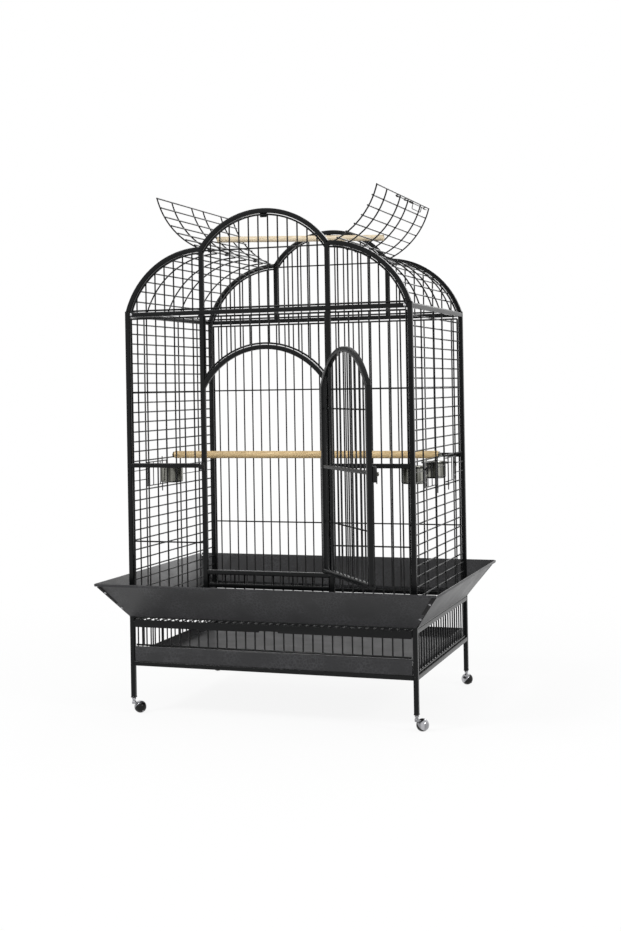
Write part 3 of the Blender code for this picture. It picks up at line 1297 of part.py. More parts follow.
def build():
    """Builds the whole cage."""
    for item in list(bpy.data.objects):
        bpy.data.objects.remove(item)
    paint = material("powder_coat", (0.010, 0.011, 0.012), 0.40, 0.0)
    sheet = material("sheet_paint", (0.030, 0.032, 0.035), 0.45, 0.0)
    dark = material("corner_paint", (0.006, 0.006, 0.006), 0.4, 0.0)
    wood = material("wood", (0.45, 0.25, 0.10), 0.6, 0.0)
    steel = material("stainless", (0.60, 0.60, 0.60), 0.3, 1.0)
    chrome = material("chrome", (0.70, 0.70, 0.72), 0.1, 1.0)
    black = material("black_plastic", (0.015, 0.015, 0.015), 0.4, 0.0)

    stand_frame("stand_frame_left", -1, paint)
    stand_frame("stand_frame_right", 1, paint)
    stand_front(paint)
    stand_rear(paint)
    for name, x_side, y_side, heading, tilt_side in CASTERS:
        caster(name, x_side, y_side, heading, tilt_side, chrome, black)
    floor_grate(paint)
    slide_tray(sheet)
    for quarter, name in enumerate(("front", "right", "rear", "left")):
        seed_guard("seed_guard_" + name, quarter, sheet)
    for name, x_side, y_side in CORNERS:
        guard_corner("guard_corner_" + name, x_side, y_side, dark)

    side_panel("side_panel_left", -1, (-1,), paint)
    side_panel("side_panel_right", 1, (-1, 1), paint)
    front_bay("front_bay_left", -1, paint)
    front_bay("front_bay_right", 1, paint)
    front_header(paint)
    front_sill(paint)
    arch_panel("front_arch", -HALF_DEPTH, paint)
    arch_panel("rear_arch", HALF_DEPTH, paint)
    rear_panel(paint)
    roof_panel("roof_panel_left", -1, paint)
    roof_panel("roof_panel_right", 1, paint)

    roof_flap("flap_left", -1, paint)
    roof_flap("flap_right", 1, paint)
    flap_bolt(dark)
    flap_catch("flap_catch_front", -1, False, paint)
    flap_catch("flap_catch_rear", 1, True, paint)
    door(paint)
    door_hinge("door_hinge_lower", HINGE_Z[0], dark)
    door_hinge("door_hinge_upper", HINGE_Z[1], dark)
    door_lock(dark, steel)
    door_keeper(dark)

    inner_perch(wood)
    perch_bolt("perch_bolt_left", -1, steel)
    perch_bolt("perch_bolt_right", 1, steel)
    play_perch(wood)
    for name, side, way in FEEDERS:
        feeder_door("feeder_door_" + name, side, way, paint)
        feeder_cup("feeder_cup_" + name, side, way, steel)
        feeder_pull("feeder_pull_" + name, side, way, dark)
    centre_on_floor()


build()
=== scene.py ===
"""Looks of a dome-top wire bird cage on ball casters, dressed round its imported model.

Metres, +Z up, +X to the right of the door and +Y to the rear. Pieces are modelled round the cage's
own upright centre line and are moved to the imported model's frame when they are handed over.
"""

import json
import logging
from collections.abc import Callable, Iterator, Sequence
from contextlib import contextmanager
from dataclasses import dataclass, field
from enum import Enum
from math import acos, asin, cos, pi, radians, sin

import bmesh
import bpy
from mathutils import Euler, Matrix, Vector

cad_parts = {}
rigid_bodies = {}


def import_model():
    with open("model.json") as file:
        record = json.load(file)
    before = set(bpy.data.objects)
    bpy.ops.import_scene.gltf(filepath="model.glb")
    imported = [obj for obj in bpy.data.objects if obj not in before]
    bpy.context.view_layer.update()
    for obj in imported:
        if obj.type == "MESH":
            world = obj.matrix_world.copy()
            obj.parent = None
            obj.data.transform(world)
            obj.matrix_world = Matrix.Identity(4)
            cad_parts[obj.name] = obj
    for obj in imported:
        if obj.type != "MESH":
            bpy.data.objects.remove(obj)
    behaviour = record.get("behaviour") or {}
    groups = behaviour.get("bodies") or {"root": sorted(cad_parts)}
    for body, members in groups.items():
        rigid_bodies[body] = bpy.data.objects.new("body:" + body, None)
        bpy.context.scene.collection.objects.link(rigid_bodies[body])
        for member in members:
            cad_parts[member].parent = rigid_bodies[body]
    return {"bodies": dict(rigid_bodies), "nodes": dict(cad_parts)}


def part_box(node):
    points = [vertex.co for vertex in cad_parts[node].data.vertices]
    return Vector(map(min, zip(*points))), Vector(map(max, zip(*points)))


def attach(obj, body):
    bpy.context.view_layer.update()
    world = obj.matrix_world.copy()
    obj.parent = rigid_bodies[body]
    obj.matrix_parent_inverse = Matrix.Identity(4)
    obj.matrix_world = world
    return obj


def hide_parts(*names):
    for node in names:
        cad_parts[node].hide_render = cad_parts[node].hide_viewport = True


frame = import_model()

Piece = bpy.types.Object
Material = bpy.types.Material
Tree = bpy.types.NodeTree
Socket = bpy.types.NodeSocket
Colour = tuple[float, float, float, float]

LOG = logging.getLogger("bird_cage")

RIGHT = Vector((1.0, 0.0, 0.0))
BACK = Vector((0.0, 1.0, 0.0))
UP = Vector((0.0, 0.0, 1.0))
ORIGIN = Vector((0.0, 0.0, 0.0))

SEAT = 0.0005  # how far a wire's end goes into what it is welded to
TUBE_CORNER = 0.0019  # outside radius of a square tube's corners
WIRE_SIDES = 10
WELD_FLARE = 0.0016  # length over which a wire's end spreads
WELD_SPREAD = 1.4  # how far it spreads, as a share of the wire's radius
BEAD_RADIUS = 0.001955
SAME_SPOT = 1e-5  # vertices nearer than this are at one place
SMOOTH_BELOW = radians(50.0)
WOOD_Y = 0.1356  # where the middle of the dowels' growth rings lies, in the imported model's frame


class Slot(Enum):
    """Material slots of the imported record."""

    POWDER = "powder_coat"
    SHEET = "sheet_paint"
    CORNER = "corner_paint"
    WOOD = "wood"
    STEEL = "stainless"
    CHROME = "chrome"
    BLACK = "black_plastic"


class Place(Enum):
    """A part of the cage's outside, whose sign is the way it lies from the middle."""

    @property
    def word(self) -> str:
        """Its part of a piece's name."""
        return self.name.lower()


class Side(Place):
    """Left and right as seen by someone who faces the door."""

    LEFT = -1
    RIGHT = 1


class End(Place):
    """Front and rear of the cage."""

    FRONT = -1
    REAR = 1


@dataclass(frozen=True)
class CageSizes:
    """Sizes that more than one sub-assembly shares, between centre lines where nothing else is said."""

    half_width: float = 0.508
    half_depth: float = 0.381
    mid_post: float = 0.227
    tube: float = 0.016
    rail: float = 0.0154
    wire: float = 0.0038
    coated_radius: float = 0.0026
    edge_radius: float = 0.0032
    sheet: float = 0.0012
    gap: float = 0.0003
    pitch: float = 0.035
    leg_bottom: float = 0.058
    stand_rail: float = 0.178
    stand_top: float = 0.338
    top_rail: float = 1.396
    kink: float = 1.613
    dome_top: float = 1.733
    crossbar: float = 0.870
    low_wire: float = 0.605
    high_wire: float = 1.125
    edge_inset: float = 0.013
    sill: float = 0.505
    opening_spring: float = 1.150
    opening_rise: float = 0.122
    feeder_place: float = 0.153
    feeder_hinge: float = 0.083
    feeder_hinge_out: float = 0.012
    bolt_x: float = 0.0078
    bolt_drop: float = 0.0115

    @property
    def half_tube(self) -> float:
        """Half the width of the square tube."""
        return self.tube / 2

    @property
    def half_rail(self) -> float:
        """Half the width of the rails' tube."""
        return self.rail / 2

    @property
    def clear_half(self) -> float:
        """Half the clear width between the corner posts."""
        return self.half_width - self.half_tube - self.gap

    @property
    def layer(self) -> float:
        """Distance of a wire's centre from the plane between two crossing layers."""
        return (self.wire + self.gap) / 2

    @property
    def base(self) -> float:
        """Underside of the cage body."""
        return self.stand_top + self.gap

    @property
    def bottom_rail(self) -> float:
        """Height of the lowest rail of the cage body."""
        return self.base + self.rail / 2

    @property
    def bar_foot(self) -> float:
        """Where the upright bars start, in the lowest rail."""
        return self.bottom_rail + self.rail / 2 - SEAT

    @property
    def top_edge(self) -> float:
        """Height of the edge wire under the top rail."""
        return self.top_rail - self.rail / 2 - 0.007

    @property
    def grate(self) -> float:
        """Underside of the floor grate."""
        return self.stand_top - 0.0122

    @property
    def grate_rail(self) -> float:
        """Height of the rails that carry the grate."""
        return self.grate - self.gap - self.rail / 2

    @property
    def lobe_radius(self) -> float:
        """Radius of the arc over each side bay."""
        reach = self.half_width - self.mid_post
        rise = self.kink - self.top_rail
        return (reach**2 + rise**2) / (2 * rise)

    @property
    def lobe_centre(self) -> float:
        """Height of the side arcs' centre."""
        return self.kink - self.lobe_radius

    @property
    def dome_radius(self) -> float:
        """Radius of the middle dome."""
        rise = self.dome_top - self.kink
        return (self.mid_post**2 + rise**2) / (2 * rise)

    @property
    def dome_centre(self) -> float:
        """Height of the dome's centre."""
        return self.dome_top - self.dome_radius

    @property
    def opening_half(self) -> float:
        """Half the width of the door opening."""
        return self.mid_post - self.half_tube

    @property
    def opening_radius(self) -> float:
        """Radius of the tube over the door opening."""
        return (self.opening_half**2 + self.opening_rise**2) / (2 * self.opening_rise)

    @property
    def opening_centre(self) -> float:
        """Height of the door arch's centre."""
        return self.opening_spring + self.opening_rise - self.opening_radius

    @property
    def bolt_height(self) -> float:
        """Height of the roof bolt while the flaps are closed."""
        return self.dome_top - self.bolt_drop


CAGE = CageSizes()


# Bench: modelling steps that every sub-assembly uses


def clear_selection() -> None:
    """Leaves nothing selected."""
    bpy.ops.object.select_all(action="DESELECT")


def focus(piece: Piece) -> None:
    """Makes one piece the only selected and active one.

    Args:
        piece: The object to work on.
    """
    clear_selection()
    piece.select_set(True)
    bpy.context.view_layer.objects.active = piece


@contextmanager
def edit(piece: Piece) -> Iterator[None]:
    """Opens a piece in edit mode with nothing selected, and leaves edit mode at the end.

    Args:
        piece: The mesh object to edit.
    """
    focus(piece)
    bpy.ops.object.mode_set(mode="EDIT")
    bpy.ops.mesh.select_mode(type="VERT")
    bpy.ops.mesh.select_all(action="DESELECT")
    yield
    bpy.ops.object.mode_set(mode="OBJECT")


def pick_all() -> None:
    """Selects the whole mesh that is open for editing."""
    bpy.ops.mesh.select_all(action="SELECT")


def extrude(move: Vector) -> None:
    """Draws what is selected out by a step and leaves its new end selected."""
    bpy.ops.mesh.extrude_region_move(TRANSFORM_OT_translate={"value": move})


def bevel(width: float, steps: int) -> None:
    """Rounds the selected edges."""
    bpy.ops.mesh.bevel(offset=width, segments=steps, affect="EDGES")


def pick(piece: Piece, test: Callable[[Vector], bool]) -> None:
    """Selects the vertices whose place passes a test, with the edges and faces between them.

    Args:
        piece: The object in edit mode.
        test: Takes a vertex's place in the object's own axes.
    """
    bpy.ops.mesh.select_mode(type="VERT")
    mesh = bmesh.from_edit_mesh(piece.data)
    for vertex in mesh.verts:
        vertex.select = test(vertex.co)
    mesh.select_flush_mode()
    bmesh.update_edit_mesh(piece.data)


def pick_edges(piece: Piece, test: Callable[[bmesh.types.BMEdge], bool]) -> None:
    """Selects the edges that pass a test.

    Args:
        piece: The object in edit mode.
        test: Takes an edge.
    """
    bpy.ops.mesh.select_mode(type="EDGE")
    mesh = bmesh.from_edit_mesh(piece.data)
    for edge in mesh.edges:
        edge.select = test(edge)
    mesh.select_flush_mode()
    bmesh.update_edit_mesh(piece.data)


def settle(piece: Piece) -> Piece:
    """Puts a piece's place, turn and scale into its mesh.

    Args:
        piece: The object to settle.

    Returns:
        The same object, at the origin.
    """
    focus(piece)
    bpy.ops.object.transform_apply(location=True, rotation=True, scale=True)
    return piece


def made() -> Piece:
    """The object that the last primitive operator added, settled."""
    return settle(bpy.context.active_object)


def frame_turn(normal: Vector, across: Vector) -> Euler:
    """Euler angles that turn Z to a normal and X to a direction across it."""
    third = normal.cross(across)
    return Matrix((across, third, normal)).transposed().to_euler()


def finish_with(piece: Piece, kind: str, **settings: object) -> Piece:
    """Adds a modifier, sets it and applies it.

    Args:
        piece: The object to change.
        kind: The modifier's type.
        **settings: Its properties.

    Returns:
        The same object.
    """
    focus(piece)
    bpy.ops.object.modifier_add(type=kind)
    modifier = piece.modifiers[-1]
    for name, value in settings.items():
        setattr(modifier, name, value)
    bpy.ops.object.modifier_apply(modifier=modifier.name)
    return piece


def soften(piece: Piece, width: float, steps: int, angle: float) -> Piece:
    """Rounds the edges of a finished form that are sharper than an angle.

    Args:
        piece: The object to change.
        width: Width of the rounding.
        steps: Facets across it.
        angle: The angle in degrees.

    Returns:
        The same object.
    """
    return finish_with(
        piece, "BEVEL", width=width, segments=steps, limit_method="ANGLE", angle_limit=radians(angle)
    )


def thicken(piece: Piece, thickness: float, offset: float, even: bool = False) -> Piece:
    """Gives an open sheet its thickness.

    Args:
        piece: The object to change.
        thickness: The sheet's thickness.
        offset: 0 for half to either side, -1 for all of it behind the faces.
        even: Whether the thickness is kept up round sharp folds.

    Returns:
        The same object.
    """
    return finish_with(piece, "SOLIDIFY", thickness=thickness, offset=offset, use_even_offset=even)


def turn_to(direction: Vector) -> Euler:
    """The turn that brings Z to a direction."""
    return direction.to_track_quat("Z", "Y").to_euler()


def add_cylinder(
    sides: int, radius: float, length: float, at: Vector, turn: Sequence[float], ends: str = "NGON"
) -> Piece:
    """Adds a cylinder that still has its own place and turn.

    Args:
        sides: Facets round it.
        radius: Its radius.
        length: Its length.
        at: Its middle.
        turn: Euler angles that take Z to its axis.
        ends: How its ends are filled.

    Returns:
        The cylinder.
    """
    clear_selection()
    bpy.ops.mesh.primitive_cylinder_add(
        vertices=sides, radius=radius, depth=length, end_fill_type=ends, location=at, rotation=turn
    )
    return bpy.context.active_object


def add_cube(
    at: Sequence[float], size: Sequence[float], turn: Sequence[float] = (0.0, 0.0, 0.0)
) -> Piece:
    """Adds a block that still has its own place, turn and scale."""
    clear_selection()
    bpy.ops.mesh.primitive_cube_add(size=1.0, location=at, rotation=turn, scale=size)
    return bpy.context.active_object


def repeat(piece: Piece, count: int, step: Vector) -> Piece:
    """Repeats a piece in a row, each copy one step from the last."""
    return finish_with(
        piece,
        "ARRAY",
        use_relative_offset=False,
        use_constant_offset=True,
        constant_offset_displace=step,
        count=count,
    )


def copy_of(piece: Piece, move: Vector) -> Piece:
    """Copies a piece, with its own mesh, and moves the copy."""
    focus(piece)
    bpy.ops.object.duplicate()
    copied = bpy.context.active_object
    copied.location = move
    return settle(copied)


def swing(piece: Piece, pivot: Vector, axis: Vector, angle: float) -> Piece:
    """Turns a settled piece about an axis through a point, right-handed.

    Args:
        piece: The object to turn.
        pivot: A point on the axis.
        axis: The axis's direction.
        angle: Angle in radians.

    Returns:
        The same object, settled.
    """
    there = Matrix.Translation(pivot)
    piece.matrix_world = there @ Matrix.Rotation(angle, 4, axis) @ there.inverted()
    return settle(piece)


def even_places(low: float, high: float, pitch: float) -> list[float]:
    """Places for bars at about this pitch, with the same step to both ends."""
    gaps = max(1, round((high - low) / pitch))
    step = (high - low) / gaps
    return [low + step * k for k in range(1, gaps)]


def box(low: Sequence[float], high: Sequence[float], rounding: float = 0.0004) -> Piece:
    """A block with rounded edges.

    Args:
        low: Its lowest corner.
        high: Its highest corner.
        rounding: Radius along its edges.

    Returns:
        The block.
    """
    a, b = Vector(low), Vector(high)
    block = settle(add_cube((a + b) / 2, b - a))
    with edit(block):
        pick_all()
        bevel(rounding, 2)
    return block


def upright_sheet(half: float, y: float, low: float, high: float) -> Piece:
    """A flat face along X in the upright plane at y.

    Args:
        half: Half its length.
        y: Its plane.
        low: Its lower edge.
        high: Its upper edge.

    Returns:
        The single face, which later steps fold and thicken.
    """
    clear_selection()
    middle = (0.0, y, (low + high) / 2)
    bpy.ops.mesh.primitive_plane_add(size=1.0, location=middle, rotation=(pi / 2, 0.0, 0.0))
    sheet = bpy.context.active_object
    sheet.scale = (2 * half, high - low, 1.0)
    return settle(sheet)


def square_tube(
    start: Sequence[float], end: Sequence[float], size: float = CAGE.tube, corner: float = TUBE_CORNER
) -> Piece:
    """A square tube along X, Y or Z with rolled corners.

    Args:
        start: One end of its centre line.
        end: The other end.
        size: Its width and depth.
        corner: Outside radius of its corners.

    Returns:
        The tube.
    """
    a, b = Vector(start), Vector(end)
    run = b - a
    scale = Vector([abs(part) if abs(part) > SAME_SPOT else size for part in run])
    tube = settle(add_cube((a + b) / 2, scale))
    along = run.normalized()
    with edit(tube):
        pick_edges(tube, lambda edge: _runs_along(edge, along))
        bevel(corner, 3)
    return tube


def _runs_along(edge: bmesh.types.BMEdge, direction: Vector) -> bool:
    """Whether an edge lies along a direction."""
    run = (edge.verts[1].co - edge.verts[0].co).normalized()
    return abs(run.dot(direction)) > 0.99


def bent_tube(
    centre: Vector, start: float, end: float, radius: float, size: float, across: Vector, steps: int
) -> Piece:
    """A square tube bent to an arc in an upright plane along X.

    Args:
        centre: The arc's centre.
        start: Angle of one end, from across towards up.
        end: Angle of the other end.
        radius: Radius of the centre line.
        size: Width and depth of the tube.
        across: Direction of angle zero, +X or -X.
        steps: Facets along the arc.

    Returns:
        The bent tube.
    """
    arm = across * cos(start) + UP * sin(start)
    axis = across.cross(UP)
    clear_selection()
    bpy.ops.mesh.primitive_plane_add(
        size=size, location=centre + arm * radius, rotation=frame_turn(axis.cross(arm), arm)
    )
    tube = made()
    with edit(tube):
        pick_all()
        bpy.ops.mesh.bevel(offset=TUBE_CORNER, segments=3, affect="VERTICES")
        pick_all()
        bpy.ops.mesh.spin(steps=steps, angle=end - start, center=centre, axis=-axis)
    return outward(tube)


def outward(piece: Piece) -> Piece:
    """Merges a piece's doubles and turns all its faces outwards."""
    with edit(piece):
        pick_all()
        bpy.ops.mesh.remove_doubles(threshold=1e-6)
        pick_all()
        bpy.ops.mesh.normals_make_consistent(inside=False)
    return piece


def wire(
    start: Sequence[float],
    end: Sequence[float],
    radius: float = CAGE.coated_radius,
    weld: float = WELD_SPREAD,
) -> Piece:
    """A round wire along X, Y or Z whose ends spread into small welds.

    Args:
        start: One end of its centre line.
        end: The other end.
        radius: Its radius.
        weld: How far the ends spread, as a share of the radius.

    Returns:
        The wire.
    """
    a, b = Vector(start), Vector(end)
    middle = (a + b) / 2
    along = (b - a).normalized()
    length = (b - a).length
    rod = settle(add_cylinder(WIRE_SIDES, radius, length, middle, turn_to(along)))
    if weld == 1.0:
        return rod
    with edit(rod):
        for way in (-1, 1):
            pick_all()
            cut = middle + along * (way * (length / 2 - WELD_FLARE))
            bpy.ops.mesh.bisect(plane_co=cut, plane_no=along)
        tip = length / 2 - WELD_FLARE / 2
        pick(rod, lambda spot: abs((spot - middle).dot(along)) > tip)
        spread = [weld + (1.0 - weld) * abs(part) for part in along]
        bpy.ops.transform.resize(value=spread, center_override=middle)
    return rod


def bent_wire(
    centre: Vector,
    start: float,
    end: float,
    radius: float,
    across: Vector,
    thickness: float = CAGE.coated_radius,
    up: Vector = UP,
    steps: int = 18,
) -> Piece:
    """A round wire bent to an arc.

    Args:
        centre: The arc's centre.
        start: Angle of one end, from across towards up.
        end: Angle of the other end.
        radius: Radius of the centre line.
        across: Direction of angle zero.
        thickness: Radius of the wire.
        up: Direction of a quarter turn.
        steps: Facets along the arc.

    Returns:
        The bent wire.
    """
    arm = across * cos(start) + up * sin(start)
    axis = across.cross(up)
    clear_selection()
    bpy.ops.mesh.primitive_circle_add(
        vertices=WIRE_SIDES,
        radius=thickness,
        fill_type="NGON",
        location=centre + arm * radius,
        rotation=frame_turn(axis.cross(arm), arm),
    )
    rod = made()
    with edit(rod):
        pick_all()
        bpy.ops.mesh.spin(steps=steps, angle=end - start, center=centre, axis=-axis)
    return outward(rod)


def weld_spots(low: Vector, counts: Sequence[int], steps: Sequence[Vector]) -> Piece:
    """Small weld beads where two layers of wire cross, in rows.

    Args:
        low: Place of the first bead.
        counts: How many there are in each row.
        steps: The step along each row.

    Returns:
        All the beads as one object.
    """
    clear_selection()
    bpy.ops.mesh.primitive_ico_sphere_add(subdivisions=1, radius=BEAD_RADIUS, location=low)
    bead = made()
    for count, step in zip(counts, steps):
        if count > 1:
            repeat(bead, count, step)
    return bead


def screw_head(at: Vector, facing: Vector, radius: float = 0.0042) -> Piece:
    """A pan-head screw with a washer and a cross recess.

    Args:
        at: Middle of the face that it sits on.
        facing: The way the head looks.
        radius: Radius of the head.

    Returns:
        The screw head.
    """
    turn = turn_to(facing)
    head = add_cylinder(16, radius, 0.0022, at + facing * 0.0014, turn)
    with edit(head):
        pick(head, lambda spot: spot.z > 0)
        bevel(0.0010, 2)
        pick(head, lambda spot: spot.z > 0.0010)
        bpy.ops.mesh.inset(thickness=radius * 0.30)
        bpy.ops.mesh.inset(thickness=radius * 0.10, depth=-0.0008)
    settle(head)
    washer = add_cylinder(16, radius * 1.5, 0.0007, at + facing * 0.0002, turn)
    with edit(washer):
        pick_all()
        bevel(0.0002, 1)
    settle(washer)
    return join([head, washer])


def join(parts: Sequence[Piece]) -> Piece:
    """Joins settled parts into the first one."""
    clear_selection()
    for part in parts:
        part.select_set(True)
    bpy.context.view_layer.objects.active = parts[0]
    if len(parts) > 1:
        bpy.ops.object.join()
    return parts[0]


def paint(piece: Piece, coat: Material) -> Piece:
    """Gives a part one material."""
    piece.data.materials.clear()
    piece.data.materials.append(coat)
    return piece


# Finishes: shared node groups first, then one class for each finish


@dataclass
class GroupBench:
    """A shader node group while it is being wired up."""

    name: str
    inputs: dict[str, float | Colour]
    outputs: dict[str, str]
    tree: Tree = field(init=False)
    source: bpy.types.Node = field(init=False)
    sink: bpy.types.Node = field(init=False)

    def __post_init__(self) -> None:
        """Makes the group with its sockets."""
        self.tree = bpy.data.node_groups.new(self.name, "ShaderNodeTree")
        for label, value in self.inputs.items():
            kind = "NodeSocketColor" if isinstance(value, tuple) else "NodeSocketFloat"
            socket = self.tree.interface.new_socket(label, in_out="INPUT", socket_type=kind)
            socket.default_value = value
        for label, kind in self.outputs.items():
            self.tree.interface.new_socket(label, in_out="OUTPUT", socket_type=kind)
        self.source = self.tree.nodes.new("NodeGroupInput")
        self.sink = self.tree.nodes.new("NodeGroupOutput")

    def add(self, kind: str, **settings: object) -> bpy.types.Node:
        """Adds a node.

        Args:
            kind: The node's type without the ShaderNode prefix.
            **settings: Its properties.

        Returns:
            The node.
        """
        return add_node(self.tree, kind, **settings)

    def wire_up(self, *pairs: tuple[object, object]) -> None:
        """Links sockets, or sets a socket where the first of a pair is a plain value."""
        connect(self.tree, *pairs)


def add_node(tree: Tree, kind: str, **settings: object) -> bpy.types.Node:
    """Adds a shader node and sets its properties.

    Args:
        tree: The node tree.
        kind: The node's type without the ShaderNode prefix.
        **settings: Its properties.

    Returns:
        The node.
    """
    node = tree.nodes.new("ShaderNode" + kind)
    for name, value in settings.items():
        setattr(node, name, value)
    return node


def connect(tree: Tree, *pairs: tuple[object, object]) -> None:
    """Links each source socket to its target, or sets the target where the source is a value.

    Args:
        tree: The node tree.
        *pairs: A source socket or a value, and the socket that takes it.
    """
    for source, target in pairs:
        if isinstance(source, Socket):
            tree.links.new(source, target)
        else:
            target.default_value = source


def noise_chain(
    bench: GroupBench, scale: float, detail: float, stretch: Sequence[float] = (1.0, 1.0, 1.0)
) -> Socket:
    """Noise on the piece's own coordinates.

    Args:
        bench: The group to add to.
        scale: Waves per metre.
        detail: Octaves.
        stretch: Scale along each axis.

    Returns:
        The noise's value socket.
    """
    place = bench.add("TexCoord")
    mapping = bench.add("Mapping")
    noise = bench.add("TexNoise")
    bench.wire_up(
        (place.outputs["Object"], mapping.inputs["Vector"]),
        (tuple(stretch), mapping.inputs["Scale"]),
        (mapping.outputs["Vector"], noise.inputs["Vector"]),
        (scale, noise.inputs["Scale"]),
        (detail, noise.inputs["Detail"]),
    )
    return noise.outputs["Fac"]


def ranged(bench: GroupBench, value: Socket, low: float, high: float) -> Socket:
    """Stretches the part of a value between low and high to 0..1, with soft ends."""
    node = bench.add("MapRange", interpolation_type="SMOOTHSTEP")
    bench.wire_up(
        (value, node.inputs["Value"]), (low, node.inputs["From Min"]), (high, node.inputs["From Max"])
    )
    return node.outputs["Result"]


def product(bench: GroupBench, *values: Socket) -> Socket:
    """Multiplies sockets together."""
    result = values[0]
    for value in values[1:]:
        node = bench.add("Math", operation="MULTIPLY")
        bench.wire_up((result, node.inputs[0]), (value, node.inputs[1]))
        result = node.outputs[0]
    return result


def dust_group() -> Tree:
    """Dust that settles on what faces up, in soft patches."""
    bench = GroupBench("settled_dust", {"Amount": 0.3}, {"Mask": "NodeSocketFloat"})
    surface = bench.add("NewGeometry")
    split = bench.add("SeparateXYZ")
    bench.wire_up((surface.outputs["Normal"], split.inputs[0]))
    facing = ranged(bench, split.outputs["Z"], 0.55, 1.0)
    patches = ranged(bench, noise_chain(bench, 14.0, 6.0), 0.38, 0.72)
    specks = ranged(bench, noise_chain(bench, 900.0, 2.0), 0.35, 0.75)
    mask = product(bench, facing, patches, specks, bench.source.outputs["Amount"])
    bench.wire_up((mask, bench.sink.inputs["Mask"]))
    return bench.tree


def wear_group() -> Tree:
    """Rubbed edges: a rounded normal tells the edges, and noise breaks them up."""
    bench = GroupBench("edge_wear", {"Amount": 0.5}, {"Mask": "NodeSocketFloat"})
    rounded = bench.add("Bevel", samples=4)
    rounded.inputs["Radius"].default_value = 0.0012
    surface = bench.add("NewGeometry")
    dot = bench.add("VectorMath", operation="DOT_PRODUCT")
    bench.wire_up(
        (rounded.outputs["Normal"], dot.inputs[0]), (surface.outputs["Normal"], dot.inputs[1])
    )
    edge = bench.add("Math", operation="SUBTRACT")
    bench.wire_up((1.0, edge.inputs[0]), (dot.outputs["Value"], edge.inputs[1]))
    sharp = ranged(bench, edge.outputs[0], 0.01, 0.14)
    broken = ranged(bench, noise_chain(bench, 60.0, 8.0), 0.46, 0.66)
    mask = product(bench, sharp, broken, bench.source.outputs["Amount"])
    bench.wire_up((mask, bench.sink.inputs["Mask"]))
    return bench.tree


def orange_peel_group() -> Tree:
    """The fine dimpled skin of baked powder paint."""
    bench = GroupBench("powder_skin", {"Scale": 700.0}, {"Height": "NodeSocketFloat"})
    place = bench.add("TexCoord")
    cells = bench.add("TexVoronoi", feature="SMOOTH_F1")
    waves = bench.add("TexNoise")
    mix = bench.add("Math", operation="MULTIPLY_ADD")
    bench.wire_up(
        (place.outputs["Object"], cells.inputs["Vector"]),
        (place.outputs["Object"], waves.inputs["Vector"]),
        (bench.source.outputs["Scale"], cells.inputs["Scale"]),
        (260.0, waves.inputs["Scale"]),
        (3.0, waves.inputs["Detail"]),
        (cells.outputs["Distance"], mix.inputs[0]),
        (0.5, mix.inputs[1]),
        (waves.outputs["Fac"], mix.inputs[2]),
        (mix.outputs[0], bench.sink.inputs["Height"]),
    )
    return bench.tree


def vein_group() -> Tree:
    """The silvery wrinkled veins of hammered sheet paint."""
    bench = GroupBench(
        "hammer_veins", {"Scale": 90.0}, {"Mask": "NodeSocketFloat", "Height": "NodeSocketFloat"}
    )
    place = bench.add("TexCoord")
    drift = bench.add("TexNoise")
    push = bench.add("VectorMath", operation="MULTIPLY_ADD")
    cells = bench.add("TexVoronoi", feature="DISTANCE_TO_EDGE")
    bench.wire_up(
        (place.outputs["Object"], drift.inputs["Vector"]),
        (45.0, drift.inputs["Scale"]),
        (4.0, drift.inputs["Detail"]),
        (drift.outputs["Color"], push.inputs[0]),
        ((0.012, 0.012, 0.012), push.inputs[1]),
        (place.outputs["Object"], push.inputs[2]),
        (push.outputs["Vector"], cells.inputs["Vector"]),
        (bench.source.outputs["Scale"], cells.inputs["Scale"]),
    )
    veins = ranged(bench, cells.outputs["Distance"], 0.16, 0.0)
    patches = ranged(bench, noise_chain(bench, 9.0, 4.0), 0.35, 0.65)
    mask = product(bench, veins, patches)
    bench.wire_up((mask, bench.sink.inputs["Mask"]), (veins, bench.sink.inputs["Height"]))
    return bench.tree


def wood_group() -> Tree:
    """Growth rings and pores of a dowel that lies along X."""
    bench = GroupBench(
        "dowel_figure",
        {"Centre Y": 0.0, "Centre Z": 0.0},
        {"Rings": "NodeSocketFloat", "Pores": "NodeSocketFloat"},
    )
    place = bench.add("TexCoord")
    middle = bench.add("CombineXYZ")
    shift = bench.add("VectorMath", operation="SUBTRACT")
    mapping = bench.add("Mapping")
    rings = bench.add("TexWave", wave_type="RINGS", rings_direction="X")
    bench.wire_up(
        (bench.source.outputs["Centre Y"], middle.inputs["Y"]),
        (bench.source.outputs["Centre Z"], middle.inputs["Z"]),
        (place.outputs["Object"], shift.inputs[0]),
        (middle.outputs[0], shift.inputs[1]),
        (shift.outputs["Vector"], mapping.inputs["Vector"]),
        ((0.0, 0.022, -0.013), mapping.inputs["Location"]),
        ((0.0, 0.02, 0.03), mapping.inputs["Rotation"]),
        (mapping.outputs["Vector"], rings.inputs["Vector"]),
        (110.0, rings.inputs["Scale"]),
        (3.5, rings.inputs["Distortion"]),
        (3.0, rings.inputs["Detail"]),
        (0.35, rings.inputs["Detail Scale"]),
    )
    pores = ranged(bench, noise_chain(bench, 420.0, 5.0, (0.045, 1.0, 1.0)), 0.50, 0.70)
    bench.wire_up(
        (rings.outputs["Fac"], bench.sink.inputs["Rings"]), (pores, bench.sink.inputs["Pores"])
    )
    return bench.tree


